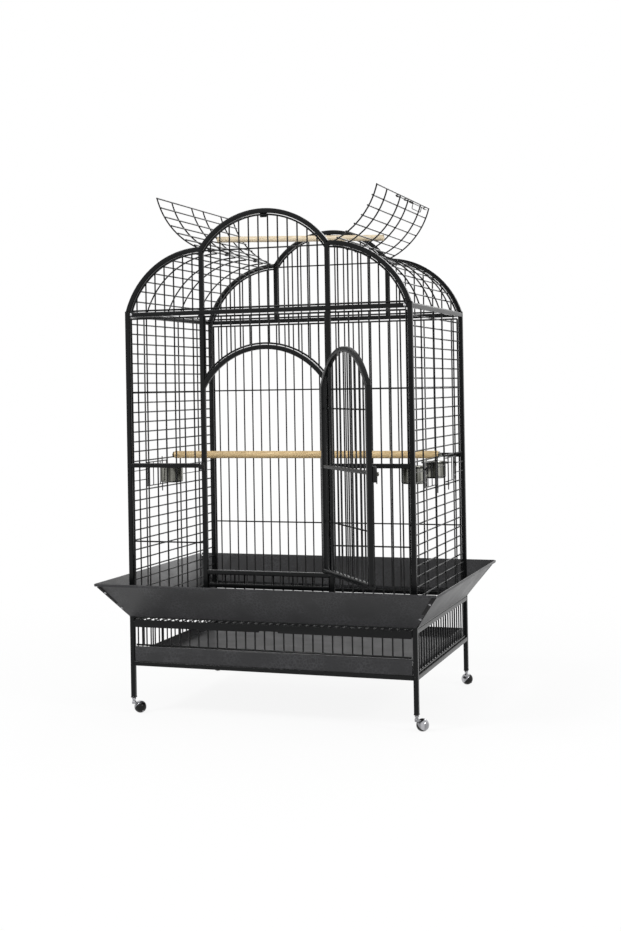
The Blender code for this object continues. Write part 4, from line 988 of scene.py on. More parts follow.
def brush_group() -> Tree:
    """Fine level lines left by polishing a spun cup, and upright streaks that are painted dark reflections
    in the metal's colour.
    """
    bench = GroupBench("polish_lines", {}, {"Lines": "NodeSocketFloat", "Smudges": "NodeSocketFloat"})
    lines = noise_chain(bench, 60.0, 3.0, (0.6, 0.6, 14.0))
    # painted dark reflection: upright streaks that darken the metal's colour as if it mirrored dark things
    # nearby
    reflection_streaks = ranged(bench, noise_chain(bench, 48.0, 2.0, (1.0, 1.0, 0.04)), 0.36, 0.60)
    bench.wire_up((lines, bench.sink.inputs["Lines"]), (reflection_streaks, bench.sink.inputs["Smudges"]))
    return bench.tree


@dataclass
class GroupRack:
    """The shared node groups, each built once."""

    dust: Tree = field(default_factory=dust_group)
    wear: Tree = field(default_factory=wear_group)
    skin: Tree = field(default_factory=orange_peel_group)
    veins: Tree = field(default_factory=vein_group)
    wood: Tree = field(default_factory=wood_group)
    brush: Tree = field(default_factory=brush_group)


@dataclass
class Mixer:
    """A material while its colour, roughness and bump are being mixed."""

    name: str
    material: Material = field(init=False)
    tree: Tree = field(init=False)
    shader: bpy.types.Node = field(init=False)

    def __post_init__(self) -> None:
        """Makes the material with its Principled shader."""
        self.material = bpy.data.materials.new(self.name)
        self.material.use_nodes = True
        self.tree = self.material.node_tree
        self.shader = self.tree.nodes["Principled BSDF"]

    def group(self, tree: Tree, **values: float) -> bpy.types.Node:
        """Places a shared group with this material's own values."""
        node = add_node(self.tree, "Group", node_tree=tree)
        for label, value in values.items():
            node.inputs[label.replace("_", " ")].default_value = value
        return node

    def blend(self, mask: Socket, under: object, over: object) -> Socket:
        """Mixes two colours by a mask.

        Args:
            mask: Where the second colour shows.
            under: The first colour, a socket or a value.
            over: The second colour, a socket or a value.

        Returns:
            The mixed colour.
        """
        node = add_node(self.tree, "Mix", data_type="RGBA")
        connect(self.tree, (mask, node.inputs["Factor"]), (under, node.inputs[6]), (over, node.inputs[7]))
        return node.outputs[2]

    def scaled(self, value: Socket, low: float, high: float) -> Socket:
        """Turns a 0..1 value into one between low and high."""
        node = add_node(self.tree, "MapRange")
        connect(
            self.tree,
            (value, node.inputs["Value"]),
            (low, node.inputs["To Min"]),
            (high, node.inputs["To Max"]),
        )
        return node.outputs["Result"]

    def larger(self, first: Socket, second: Socket) -> Socket:
        """The larger of two values."""
        node = add_node(self.tree, "Math", operation="MAXIMUM")
        connect(self.tree, (first, node.inputs[0]), (second, node.inputs[1]))
        return node.outputs[0]

    def noise(self, scale: float, detail: float) -> Socket:
        """Plain noise on the piece's coordinates."""
        place = add_node(self.tree, "TexCoord")
        node = add_node(self.tree, "TexNoise")
        connect(
            self.tree,
            (place.outputs["Object"], node.inputs["Vector"]),
            (scale, node.inputs["Scale"]),
            (detail, node.inputs["Detail"]),
        )
        return node.outputs["Fac"]

    def bump(self, height: Socket, strength: float, depth: float) -> None:
        """Feeds the shader's normal from a height."""
        node = add_node(self.tree, "Bump")
        node.inputs["Strength"].default_value = strength
        node.inputs["Distance"].default_value = depth
        connect(
            self.tree,
            (height, node.inputs["Height"]),
            (node.outputs["Normal"], self.shader.inputs["Normal"]),
        )

    def use(self, **sockets: object) -> Material:
        """Feeds the shader's sockets and gives the finished material.

        Args:
            **sockets: Socket names, with _ for a space, and what feeds them.

        Returns:
            The material.
        """
        for label, source in sockets.items():
            connect(self.tree, (source, self.shader.inputs[label.replace("_", " ")]))
        return self.material


@dataclass(frozen=True)
class PowderCoat:
    """Near-black baked powder paint on tube and wire."""

    shade: Colour = (0.0020, 0.0022, 0.0024, 1.0)
    light_shade: Colour = (0.0052, 0.0056, 0.0060, 1.0)
    rubbed: Colour = (0.026, 0.027, 0.028, 1.0)
    dust: Colour = (0.080, 0.076, 0.070, 1.0)
    smoothest: float = 0.19
    roughest: float = 0.31
    shine: float = 0.17

    def material(self, groups: GroupRack) -> Material:
        """Builds the paint."""
        mixer = Mixer("powder_coat_paint")
        skin = mixer.group(groups.skin, Scale=700.0)
        wear = mixer.group(groups.wear, Amount=0.55)
        dust = mixer.group(groups.dust, Amount=0.22)
        cloud = mixer.noise(7.0, 5.0)
        base = mixer.blend(cloud, self.shade, self.light_shade)
        worn = mixer.blend(wear.outputs["Mask"], base, self.rubbed)
        colour = mixer.blend(dust.outputs["Mask"], worn, self.dust)
        dull = mixer.larger(mixer.scaled(cloud, self.smoothest, self.roughest), dust.outputs["Mask"])
        mixer.bump(skin.outputs["Height"], 0.18, 0.0002)
        return mixer.use(Base_Color=colour, Roughness=dull, Specular_IOR_Level=self.shine)


@dataclass(frozen=True)
class SheetPaint:
    """Dark hammered paint with faint silver veins, on the guards and the tray."""

    shade: Colour = (0.0135, 0.0135, 0.0150, 1.0)
    vein: Colour = (0.056, 0.056, 0.061, 1.0)
    rubbed: Colour = (0.055, 0.056, 0.058, 1.0)
    dust: Colour = (0.110, 0.104, 0.096, 1.0)
    shine: float = 0.38

    def material(self, groups: GroupRack) -> Material:
        """Builds the paint."""
        mixer = Mixer("hammered_sheet_paint")
        veins = mixer.group(groups.veins, Scale=90.0)
        wear = mixer.group(groups.wear, Amount=0.8)
        dust = mixer.group(groups.dust, Amount=0.30)
        painted = mixer.blend(mixer.scaled(veins.outputs["Mask"], 0.0, 0.55), self.shade, self.vein)
        worn = mixer.blend(wear.outputs["Mask"], painted, self.rubbed)
        colour = mixer.blend(dust.outputs["Mask"], worn, self.dust)
        dull = mixer.larger(mixer.scaled(mixer.noise(11.0, 5.0), 0.30, 0.50), dust.outputs["Mask"])
        mixer.bump(veins.outputs["Height"], 0.30, 0.0002)
        return mixer.use(Base_Color=colour, Roughness=dull, Specular_IOR_Level=self.shine)


@dataclass(frozen=True)
class CornerPaint:
    """Plain dark paint on the corner strips, the lock and the keeper."""

    shade: Colour = (0.0022, 0.0022, 0.0024, 1.0)
    light_shade: Colour = (0.0055, 0.0055, 0.0058, 1.0)
    rubbed: Colour = (0.060, 0.057, 0.054, 1.0)
    shine: float = 0.22

    def material(self, groups: GroupRack) -> Material:
        """Builds the paint."""
        mixer = Mixer("corner_strip_paint")
        wear = mixer.group(groups.wear, Amount=0.7)
        skin = mixer.group(groups.skin, Scale=1100.0)
        cloud = mixer.noise(25.0, 4.0)
        base = mixer.blend(cloud, self.shade, self.light_shade)
        colour = mixer.blend(wear.outputs["Mask"], base, self.rubbed)
        mixer.bump(skin.outputs["Height"], 0.15, 0.0002)
        dull = mixer.scaled(cloud, 0.28, 0.44)
        return mixer.use(Base_Color=colour, Roughness=dull, Specular_IOR_Level=self.shine)


@dataclass(frozen=True)
class PaleWood:
    """Plain oiled hardwood of a perch."""

    name: str
    centre_y: float
    centre_z: float
    early: Colour = (0.80, 0.59, 0.30, 1.0)
    late: Colour = (0.46, 0.30, 0.125, 1.0)
    pore: Colour = (0.22, 0.13, 0.055, 1.0)
    bleached: Colour = (0.84, 0.67, 0.40, 1.0)

    def material(self, groups: GroupRack) -> Material:
        """Builds the wood."""
        mixer = Mixer(self.name)
        figure = mixer.group(groups.wood, Centre_Y=self.centre_y, Centre_Z=self.centre_z)
        rings = mixer.blend(mixer.scaled(figure.outputs["Rings"], 0.0, 0.75), self.early, self.late)
        pored = mixer.blend(mixer.scaled(figure.outputs["Pores"], 0.0, 0.45), rings, self.pore)
        blotch = mixer.scaled(mixer.noise(12.0, 3.0), 0.0, 0.35)
        colour = mixer.blend(blotch, pored, self.bleached)
        mixer.bump(figure.outputs["Pores"], 0.35, 0.0003)
        dull = mixer.scaled(figure.outputs["Rings"], 0.42, 0.58)
        return mixer.use(Base_Color=colour, Roughness=dull)


@dataclass(frozen=True)
class BrightSteel:
    """Satin steel of the cups, or plated steel of the small parts, with dark reflections painted into its
    colour in upright streaks.
    """

    name: str
    tint: Colour = (0.34, 0.34, 0.305, 1.0)
    # colour of the painted dark reflections
    painted_reflection: Colour = (0.055, 0.055, 0.046, 1.0)
    smoothest: float = 0.17
    roughest: float = 0.30

    def material(self, groups: GroupRack) -> Material:
        """Builds the metal."""
        mixer = Mixer(self.name)
        brush = mixer.group(groups.brush)
        # painted dark reflection streaks over the metal's own tint
        colour = mixer.blend(brush.outputs["Smudges"], self.tint, self.painted_reflection)
        mixer.bump(brush.outputs["Lines"], 0.04, 0.0001)
        dull = mixer.scaled(brush.outputs["Lines"], self.smoothest, self.roughest)
        return mixer.use(Base_Color=colour, Roughness=dull, Metallic=1.0)


@dataclass(frozen=True)
class BlackNylon:
    """Moulded nylon of the caster wheels, scuffed where it rolls."""

    shade: Colour = (0.0018, 0.0018, 0.0018, 1.0)
    scuffed: Colour = (0.020, 0.019, 0.018, 1.0)
    shine: float = 0.22

    def material(self, groups: GroupRack) -> Material:
        """Builds the plastic."""
        mixer = Mixer("black_nylon")
        skin = mixer.group(groups.skin, Scale=1600.0)
        scuffs = mixer.scaled(mixer.noise(180.0, 8.0), -0.9, 1.1)
        colour = mixer.blend(scuffs, self.shade, self.scuffed)
        mixer.bump(skin.outputs["Height"], 0.2, 0.0002)
        dull = mixer.scaled(mixer.noise(60.0, 4.0), 0.22, 0.40)
        return mixer.use(Base_Color=colour, Roughness=dull, Specular_IOR_Level=self.shine)


@dataclass
class Workshop:
    """The finishes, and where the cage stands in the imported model."""

    shift: Vector
    coats: dict[str, Material]

    def hand_over(
        self, parts: Sequence[Piece], name: str, body: str, slot: Slot, *nodes: str
    ) -> Piece:
        """Joins parts into a finished piece that rides on its body in place of its nodes.

        Args:
            parts: Settled parts; those with no material take the slot's own.
            name: The piece's name.
            body: The body that it rides on.
            slot: The record's slot that it takes its finish from.
            *nodes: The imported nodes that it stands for.

        Returns:
            The finished piece.
        """
        for part in parts:
            if not part.data.materials:
                paint(part, self.coats[slot.value])
        piece = join(parts)
        focus(piece)
        bpy.ops.object.shade_smooth_by_angle(angle=SMOOTH_BELOW)
        piece.location = self.shift
        settle(piece)
        piece.name = name
        piece.data.name = name
        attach(piece, body)
        if nodes:
            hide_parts(*nodes)
        LOG.info("%s rides on %s: %d faces", name, body, len(piece.data.polygons))
        return piece

    def silver(self, part: Piece) -> Piece:
        """Paints a small part as plated steel."""
        return paint(part, self.coats["plated"])


# Rails and rows of bars that more than one piece uses


def level_rail(y: float, z: float, half: float) -> Piece:
    """A rail from left to right.

    Args:
        y: Its place from front to rear.
        z: Its height.
        half: Half its length.

    Returns:
        The rail.
    """
    return square_tube((-half, y, z), (half, y, z), CAGE.rail)


def comb(y: float, places: Sequence[float], low: float, high: float) -> Piece:
    """A row of equal upright wires in a front or rear panel.

    Args:
        y: Plane of the wires.
        places: Their places along X, evenly spaced.
        low: Height of their lower ends.
        high: Height of their upper ends.

    Returns:
        The row.
    """
    first = wire((places[0], y, low), (places[0], y, high))
    return repeat(first, len(places), RIGHT * (places[1] - places[0]))


def arch_comb(
    y: float, places: Sequence[float], low: Callable[[float], float], high: Callable[[float], float]
) -> list[Piece]:
    """Upright wires whose ends follow curves.

    Args:
        y: Plane of the wires.
        places: Their places along X.
        low: Height of the lower end at x.
        high: Height of the upper end at x.

    Returns:
        The wires.
    """
    return [wire((x, y, low(x)), (x, y, high(x))) for x in places]


def arc_height(centre_z: float, radius: float, middle: float = 0.0) -> Callable[[float], float]:
    """Height of an arc at x.

    Args:
        centre_z: Height of the arc's centre.
        radius: Its radius.
        middle: How far the centre stands from the cage's middle, on both sides.

    Returns:
        A function of x.
    """
    return lambda x: centre_z + (radius**2 - (abs(x) - middle) ** 2) ** 0.5


def bay_bars(y: float, places: Sequence[float]) -> list[Piece]:
    """Bars of a bay: one row below the crossbar and one above it."""
    half = CAGE.half_rail - SEAT
    return [
        comb(y, places, CAGE.bottom_rail + half, CAGE.crossbar - half),
        comb(y, places, CAGE.crossbar + half, CAGE.top_edge),
    ]


# Stand


@dataclass
class StandSide:
    """One side of the stand: two legs, two rails and the fence on its edge wire between them."""

    side: Side
    foot_plug: float = 0.004

    def build(self, shop: Workshop) -> None:
        """Builds and hands over the side of the stand."""
        x = self.side.value * CAGE.half_width
        reach = CAGE.half_depth - CAGE.half_tube
        side_rail = CAGE.stand_top - CAGE.half_tube
        parts = []
        for y in (-CAGE.half_depth, CAGE.half_depth):
            parts.append(square_tube((x, y, CAGE.leg_bottom), (x, y, CAGE.stand_top)))
            parts += self._plug(shop, x, y)
        for z in (CAGE.stand_rail, side_rail):
            parts.append(square_tube((x, -reach, z), (x, reach, z), CAGE.rail))
        low = CAGE.stand_rail + CAGE.half_rail - SEAT
        high = side_rail - CAGE.half_rail + SEAT
        places = even_places(-reach, reach, CAGE.pitch)
        upright = wire((x, places[0], low), (x, places[0], high))
        parts.append(repeat(upright, len(places), BACK * (places[1] - places[0])))
        edge = CAGE.stand_rail + CAGE.edge_inset
        parts.append(wire((x, -reach, edge), (x, reach, edge), CAGE.edge_radius, 1.0))
        name = "stand_frame_" + self.side.word
        shop.hand_over(parts, name + "_tubes", "cage", Slot.POWDER, name)

    def _plug(self, shop: Workshop, x: float, y: float) -> list[Piece]:
        """The black plug that closes the foot of a leg round the caster's stem."""
        half = CAGE.half_tube + 0.0006
        low = (x - half, y - half, CAGE.leg_bottom - 0.0002)
        plug = box(low, (x + half, y + half, CAGE.leg_bottom + self.foot_plug), 0.0012)
        return [paint(plug, shop.coats[Slot.BLACK.value])]


@dataclass
class StandEnds:
    """Front rail, front apron over the tray, and the rear grille of the stand."""

    apron_edge: float = 0.2430

    def build(self, shop: Workshop) -> None:
        """Builds and hands over the three pieces."""
        half = CAGE.clear_half
        front, rear = -CAGE.half_depth, CAGE.half_depth
        name = "stand_front_rail"
        parts = [level_rail(front, CAGE.stand_rail, half), *self._bolts(half)]
        shop.hand_over(parts, name + "_tube", "cage", Slot.POWDER, name)

        name = "stand_front_apron"
        edge = half - CAGE.edge_inset / 2
        lower = wire((-edge, front, self.apron_edge), (edge, front, self.apron_edge), CAGE.edge_radius)
        parts = [level_rail(front, CAGE.grate_rail, half), lower, self._fence(front, half, self.apron_edge)]
        shop.hand_over(parts, name + "_grille", "cage", Slot.POWDER, name)

        name = "stand_rear_grille"
        parts = [level_rail(rear, z, half) for z in (CAGE.stand_rail, CAGE.grate_rail)]
        parts.append(self._fence(rear, half, CAGE.stand_rail + CAGE.half_rail - SEAT))
        shop.hand_over(parts, name + "_tubes", "cage", Slot.POWDER, name)

    def _fence(self, y: float, half: float, low: float) -> Piece:
        """The row of upright wires under a grate rail.

        Args:
            y: Place of the row.
            half: Half the length of the rail.
            low: Lower end of the wires.

        Returns:
            The wires.
        """
        places = even_places(-half, half, CAGE.pitch)
        return comb(y, places, low, CAGE.grate_rail - CAGE.half_rail + SEAT)

    def _bolts(self, half: float) -> list[Piece]:
        """Coated screws that hold the front rail to the legs."""
        bolts = []
        for way in (-1, 1):
            x = way * (half + CAGE.half_tube)
            spot = Vector((x, -CAGE.half_depth - CAGE.half_tube, CAGE.stand_rail))
            bolts.append(screw_head(spot, -BACK, 0.0034))
        return bolts


@dataclass
class FloorGrate:
    """Sliding grate of wires with a sheet lip that has a finger notch."""

    pitch: float = 0.026
    ties: tuple[float, float] = (-0.130, 0.130)
    lip_height: float = 0.020
    notch_half: float = 0.035
    notch_rise: float = 0.0124
    slide_gap: float = 0.003

    def build(self, shop: Workshop) -> None:
        """Builds and hands over the grate."""
        half = CAGE.half_width - CAGE.half_tube - self.slide_gap
        front = -CAGE.half_depth - CAGE.half_rail - CAGE.gap - CAGE.sheet / 2
        rear = CAGE.half_depth - 0.004
        upper = CAGE.grate + 2 * CAGE.wire + 2 * CAGE.gap - CAGE.wire / 2
        lower = CAGE.grate + CAGE.wire / 2
        radius = CAGE.wire / 2
        parts = [self._lip(half, front, upper)]
        for x in (-half + radius, half - radius):
            parts.append(wire((x, front, lower + 0.0006), (x, rear, lower + 0.0006), 0.0019, 1.0))
            parts.append(wire((x, front, upper), (x, rear, upper), radius, 1.0))
        for y in (front + 0.003, rear - radius):
            parts.append(wire((-half, y, lower), (half, y, lower), radius, 1.0))
        for y in self.ties:
            parts.append(wire((-half, y, lower), (half, y, lower), radius, 1.0))
        places = even_places(-half, half, self.pitch)
        bar = wire((places[0], front, upper), (places[0], rear, upper))
        parts.append(repeat(bar, len(places), RIGHT * (places[1] - places[0])))
        low = Vector((places[0], self.ties[0], (upper + lower) / 2))
        steps = (RIGHT * (places[1] - places[0]), BACK * (self.ties[1] - self.ties[0]))
        parts.append(weld_spots(low, (len(places), 2), steps))
        shop.hand_over(parts, "floor_grate_wires", "floor_grate", Slot.POWDER, "floor_grate")

    def _lip(self, half: float, y: float, top: float) -> Piece:
        """The sheet lip with its notch.

        Args:
            half: Half its length.
            y: Its middle plane.
            top: Its upper edge.

        Returns:
            The lip.
        """
        low = CAGE.grate - self.lip_height
        lip = upright_sheet(half, y, low, top)
        angles = [pi * k / 10 for k in range(11)]
        with edit(lip):
            for angle in angles:
                pick_all()
                bpy.ops.mesh.bisect(plane_co=(self.notch_half * cos(angle), y, low), plane_no=RIGHT)
            for angle in angles[1:-1]:
                place = self.notch_half * cos(angle)
                pick(lip, lambda spot: abs(spot.x - place) < SAME_SPOT and spot.z < low + SAME_SPOT)
                bpy.ops.transform.translate(value=UP * (self.notch_rise * sin(angle)))
        thicken(lip, CAGE.sheet, 0.0)
        return soften(lip, 0.0003, 2, 60)


@dataclass
class SlideTray:
    """Litter tray of bent sheet with a taller face and a folded grip."""

    wall: float = 0.032
    face: float = 0.052
    ledge: float = 0.010
    hem: float = 0.0030
    hem_drop: float = 0.005
    slide_gap: float = 0.003

    def build(self, shop: Workshop) -> None:
        """Builds and hands over the tray."""
        half = CAGE.half_width - CAGE.half_tube - self.slide_gap
        front = -CAGE.half_depth - CAGE.half_rail
        rear = CAGE.half_depth - CAGE.wire / 2 - self.slide_gap / 2
        low = CAGE.stand_rail + CAGE.half_rail + CAGE.gap
        parts = [self._pan(half, front, rear, low), self._face(half, front, low)]
        shop.hand_over(parts, "slide_tray_sheet", "slide_tray", Slot.SHEET, "slide_tray")

    def _pan(self, half: float, front: float, rear: float, low: float) -> Piece:
        """The open pan, with its upper edges hemmed over.

        Args:
            half: Half its width.
            front: Its front plane.
            rear: Its rear plane.
            low: Its underside.

        Returns:
            The pan.
        """
        top = low + self.wall
        middle = (0.0, (front + rear) / 2, (low + top) / 2)
        pan = settle(add_cube(middle, (2 * half, rear - front, self.wall)))
        with edit(pan):
            pick(pan, lambda spot: spot.z > top - 1e-4)
            bpy.ops.mesh.delete(type="ONLY_FACE")
            pick_edges(pan, lambda edge: _runs_along(edge, UP))
            bevel(0.003, 3)
            pick_edges(pan, lambda edge: all(v.co.z < low + 1e-4 for v in edge.verts))
            bevel(0.002, 2)
            pick_edges(pan, lambda edge: edge.is_boundary)
            extrude(UP * 0.0004)
            shrink = (1 - self.hem / half, 1 - self.hem / ((rear - front) / 2), 1.0)
            bpy.ops.transform.resize(value=shrink, center_override=middle)
            extrude(UP * -self.hem_drop)
        return thicken(pan, 0.0010, -1.0)

    def _face(self, half: float, front: float, low: float) -> Piece:
        """The taller face with its folded ledge and a rolled lower edge.

        Args:
            half: Half its width.
            front: Its front plane.
            low: Its underside.

        Returns:
            The face.
        """
        top = low + self.face
        edge = CAGE.sheet / 2
        face = upright_sheet(half, front + edge, low + edge, top - edge)
        with edit(face):
            pick(face, lambda spot: spot.z > top - 0.002)
            extrude(BACK * (self.ledge - CAGE.sheet / 2))
            extrude(UP * -0.004)
        soften(face, 0.0016, 3, 50)
        thicken(face, CAGE.sheet, 0.0)
        return soften(face, 0.0003, 1, 70)


# Seed guards


@dataclass
class SeedGuard:
    """One sloping sheet guard: a tab on the rail, the slope and a hemmed upper edge."""

    name: str
    quarter: int
    line: tuple[tuple[float, float], ...] = (
        (0.0089, 0.366),
        (0.0089, 0.347),
        (0.0980, 0.464),
        (0.0991, 0.4634),
        (0.0994, 0.4620),
        (0.0990, 0.4560),
    )
    trim: float = 0.0035

    def build(self, shop: Workshop) -> None:
        """Builds and hands over the guard."""
        long_way = self.quarter % 2 == 0
        along = CAGE.half_width if long_way else CAGE.half_depth
        out = CAGE.half_depth if long_way else CAGE.half_width
        (near, top), (_, foot) = self.line[:2]
        sheet = upright_sheet(along + near - self.trim, -out - near, foot, top)
        with edit(sheet):
            pick(sheet, lambda spot: spot.z < foot + 1e-4)
            for (u0, v0), (u1, v1) in zip(self.line[1:], self.line[2:]):
                move = Vector((0.0, u0 - u1, v1 - v0))
                extrude(move)
                widen = (along + u1 - self.trim) / (along + u0 - self.trim)
                bpy.ops.transform.resize(value=(widen, 1.0, 1.0), center_override=ORIGIN)
        thicken(sheet, CAGE.sheet, 0.0, even=True)
        soften(sheet, 0.0004, 2, 40)
        swing(sheet, ORIGIN, UP, self.quarter * pi / 2)
        shop.hand_over([sheet], self.name + "_sheet", "cage", Slot.SHEET, self.name)


@dataclass
class GuardCorner:
    """Bent strip that joins two guards under their mitre, with two plated screws."""

    name: str
    x_side: int
    y_side: int
    wing: float = 0.014
    low: float = 0.353
    high: float = 0.453
    foot: tuple[float, float] = (0.0089, 0.347)
    rise: float = 0.117
    run: float = 0.0891

    def build(self, shop: Workshop) -> None:
        """Builds and hands over the strip with its screws."""
        slope = Vector((self.run, self.rise)).normalized()
        near = (CAGE.sheet / 2 + CAGE.gap) / slope.y + CAGE.sheet / slope.y / 2
        corner = Vector((self.x_side * CAGE.half_width, self.y_side * CAGE.half_depth, 0.0))
        way = Vector((self.x_side, self.y_side, 0.0))

        def ridge(z: float) -> Vector:
            """Point of the strip's ridge at a height."""
            u = self.foot[0] + (z - self.foot[1]) * self.run / self.rise + near
            return corner + way * u + UP * z

        low, high = ridge(self.low), ridge(self.high)
        clear_selection()
        bpy.ops.mesh.primitive_plane_add(size=1.0)
        strip = bpy.context.active_object
        wing_x = Vector((-self.x_side * self.wing, 0.0, 0.0))
        with edit(strip):
            corners = {(-1, -1): low, (1, -1): low + wing_x, (-1, 1): high, (1, 1): high + wing_x}
            for (u, v), spot in corners.items():
                pick(strip, lambda co: co.x * u > 0 and co.y * v > 0)
                bpy.ops.transform.translate(value=spot - Vector((u / 2, v / 2, 0.0)))
                bpy.ops.mesh.hide(unselected=False)
            bpy.ops.mesh.reveal(select=False)
            pick(strip, lambda co: min((co - low).length, (co - high).length) < SAME_SPOT)
            wing_y = Vector((0.0, -self.y_side * self.wing, 0.0))
            extrude(wing_y)
        settle(strip)
        thicken(strip, 0.0010, 0.0, even=True)
        soften(strip, 0.0003, 2, 50)
        parts = [outward(strip)]
        down = Vector((self.rise, self.run))
        facing = Vector((0.0, self.y_side * down.x, -down.y)).normalized()
        for share in (0.22, 0.78):
            spot = low.lerp(high, share) + wing_x * 0.5 + facing * 0.0006
            parts.append(shop.silver(screw_head(spot, facing, 0.0030)))
        shop.hand_over(parts, self.name + "_strip", "cage", Slot.CORNER, self.name)


# Cage body


@dataclass
class SidePanel:
    """Posts, rails, rods and uprights of one side, with the eyes of its feeder doors."""

    side: Side
    feeders: tuple[int, ...]
    rod_start: float = 0.364
    rod_pitch: float = 0.0345
    rods: int = 30
    open_rows: tuple[int, int] = (13, 14)
    uprights: tuple[float, float] = (0.062, 0.244)

    def build(self, shop: Workshop) -> None:
        """Builds and hands over the side panel."""
        way = self.side.value
        x = way * CAGE.half_width
        inner, outer = x - way * CAGE.layer, x + way * CAGE.layer
        reach = CAGE.half_depth - CAGE.half_tube
        top = CAGE.top_rail + CAGE.half_tube
        parts = []
        for y in (-CAGE.half_depth, CAGE.half_depth):
            parts.append(square_tube((x, y, CAGE.base), (x, y, top)))
        for z in (CAGE.bottom_rail, CAGE.top_rail - CAGE.gap):
            parts.append(square_tube((x, -reach, z), (x, reach, z), CAGE.rail))
        first_row, last_row = self.open_rows
        blocks = ((0, first_row), (last_row + 1, self.rods - last_row - 1))
        for start, count in blocks:
            z = self.rod_start + start * self.rod_pitch
            rod = wire((inner, -reach, z), (inner, reach, z))
            parts.append(repeat(rod, count, UP * self.rod_pitch))
        low = CAGE.bar_foot
        high = CAGE.top_rail - CAGE.gap - CAGE.half_rail + SEAT
        spots = sorted(sign * y for y in self.uprights for sign in (-1, 1))
        for y in spots:
            parts.append(wire((outer, y, low), (outer, y, high)))
            for start, count in blocks:
                spot = Vector((x, y, self.rod_start + start * self.rod_pitch))
                parts.append(weld_spots(spot, (count,), (UP * self.rod_pitch,)))
        parts += self._short_rods(outer, reach, spots)
        parts += self._eyes(x, inner)
        name = "side_panel_" + self.side.word
        shop.hand_over(parts, name + "_grille", "cage", Slot.POWDER, name)

    def _short_rods(self, x: float, reach: float, spots: Sequence[float]) -> list[Piece]:
        """Rods beside the feeder openings, in the two rows that the feeders interrupt.

        Args:
            x: Plane of the rods.
            reach: Half the clear depth between the posts.
            spots: Places of the upright wires.

        Returns:
            The rods.
        """
        marks = [-reach, *spots, reach]
        parts = []
        for near, far in zip(marks, marks[1:]):
            if any(near < way * CAGE.feeder_place < far for way in self.feeders):
                continue
            z = self.rod_start + self.open_rows[0] * self.rod_pitch
            rod = wire((x, near, z), (x, far, z), CAGE.wire / 2 - 0.0002)
            parts.append(repeat(rod, 2, UP * self.rod_pitch))
        return parts

    def _eyes(self, x: float, inner: float) -> list[Piece]:
        """The eyes that carry the hinge rods of the feeder doors.

        Args:
            x: Plane of the panel.
            inner: Plane of the rods.

        Returns:
            The eyes with their arms.
        """
        parts = []
        side = self.side.value
        hinge_x = x + side * CAGE.feeder_hinge_out
        for way in self.feeders:
            for row in (self.open_rows[0] - 1, self.open_rows[1] + 1):
                z = self.rod_start + row * self.rod_pitch
                y = way * CAGE.feeder_hinge
                parts.append(wire((inner, y, z), (hinge_x - side * 0.0033, y, z), 0.0015, 1.2))
                centre = Vector((hinge_x, y, z))
                parts.append(bent_wire(centre, 0.05, 2 * pi - 0.05, 0.0033, RIGHT, 0.0009, BACK, 24))
        return parts


@dataclass
class FrontBay:
    """One front bay: mid post, rails, edge wires, bars and two cross wires."""

    side: Side

    def build(self, shop: Workshop) -> None:
        """Builds and hands over the bay."""
        side = self.side.value
        y = -CAGE.half_depth
        post = side * CAGE.mid_post
        edge = side * (CAGE.half_width - CAGE.edge_inset)
        inner, outer = y + CAGE.layer, y - CAGE.layer
        top = CAGE.top_rail - CAGE.half_rail - CAGE.gap
        start = post + side * (CAGE.half_tube - SEAT)
        stop = side * CAGE.clear_half
        parts = [square_tube((post, y, CAGE.base), (post, y, top))]
        for z in (CAGE.bottom_rail, CAGE.crossbar):
            parts.append(square_tube((start, y, z), (stop, y, z), CAGE.rail))
        low = CAGE.bar_foot
        parts.append(wire((edge, y, low), (edge, y, CAGE.top_edge), CAGE.edge_radius))
        parts.append(wire((start, y, CAGE.top_edge), (edge, y, CAGE.top_edge), CAGE.edge_radius))
        places = even_places(*sorted((post, side * CAGE.half_width)), CAGE.pitch)
        parts += bay_bars(inner, places)
        for z in (CAGE.low_wire, CAGE.high_wire):
            parts.append(wire((start, outer, z), (edge, outer, z)))
            step = RIGHT * (places[1] - places[0])
            parts.append(weld_spots(Vector((places[0], y, z)), (len(places),), (step,)))
        name = "front_bay_" + self.side.word
        shop.hand_over(parts, name + "_grille", "cage", Slot.POWDER, name)


@dataclass
class FrontHeader:
    """Bent tube over the door opening, with its outer wire, frame wires and bars."""

    def build(self, shop: Workshop) -> None:
        """Builds and hands over the header."""
        y = -CAGE.half_depth
        edge = CAGE.opening_half - CAGE.gap - 0.002
        centre = Vector((0.0, y, CAGE.opening_centre))
        radius = CAGE.opening_radius
        foot = acos((CAGE.opening_half + 0.0072) / radius)
        arch = bent_tube(centre, foot, pi - foot, radius, CAGE.rail, RIGHT, 36)
        outer_radius = radius + CAGE.edge_inset
        wire_foot = acos(edge / outer_radius)
        edge_wire = bent_wire(
            centre, wire_foot, pi - wire_foot, outer_radius, RIGHT, CAGE.edge_radius, steps=36
        )
        parts = [arch, edge_wire]
        low = arc_height(CAGE.opening_centre, radius)(edge)
        for x in (-edge, edge):
            parts.append(wire((x, y, low), (x, y, CAGE.top_edge + 0.002), CAGE.edge_radius))
        parts.append(wire((-edge, y, CAGE.top_edge), (edge, y, CAGE.top_edge), CAGE.edge_radius))
        places = even_places(-CAGE.mid_post, CAGE.mid_post, CAGE.pitch)
        foot_of = arc_height(CAGE.opening_centre, outer_radius)
        parts += arch_comb(y + CAGE.layer, places, foot_of, lambda x: CAGE.top_edge)
        shop.hand_over(parts, "front_header_arch", "cage", Slot.POWDER, "front_header")


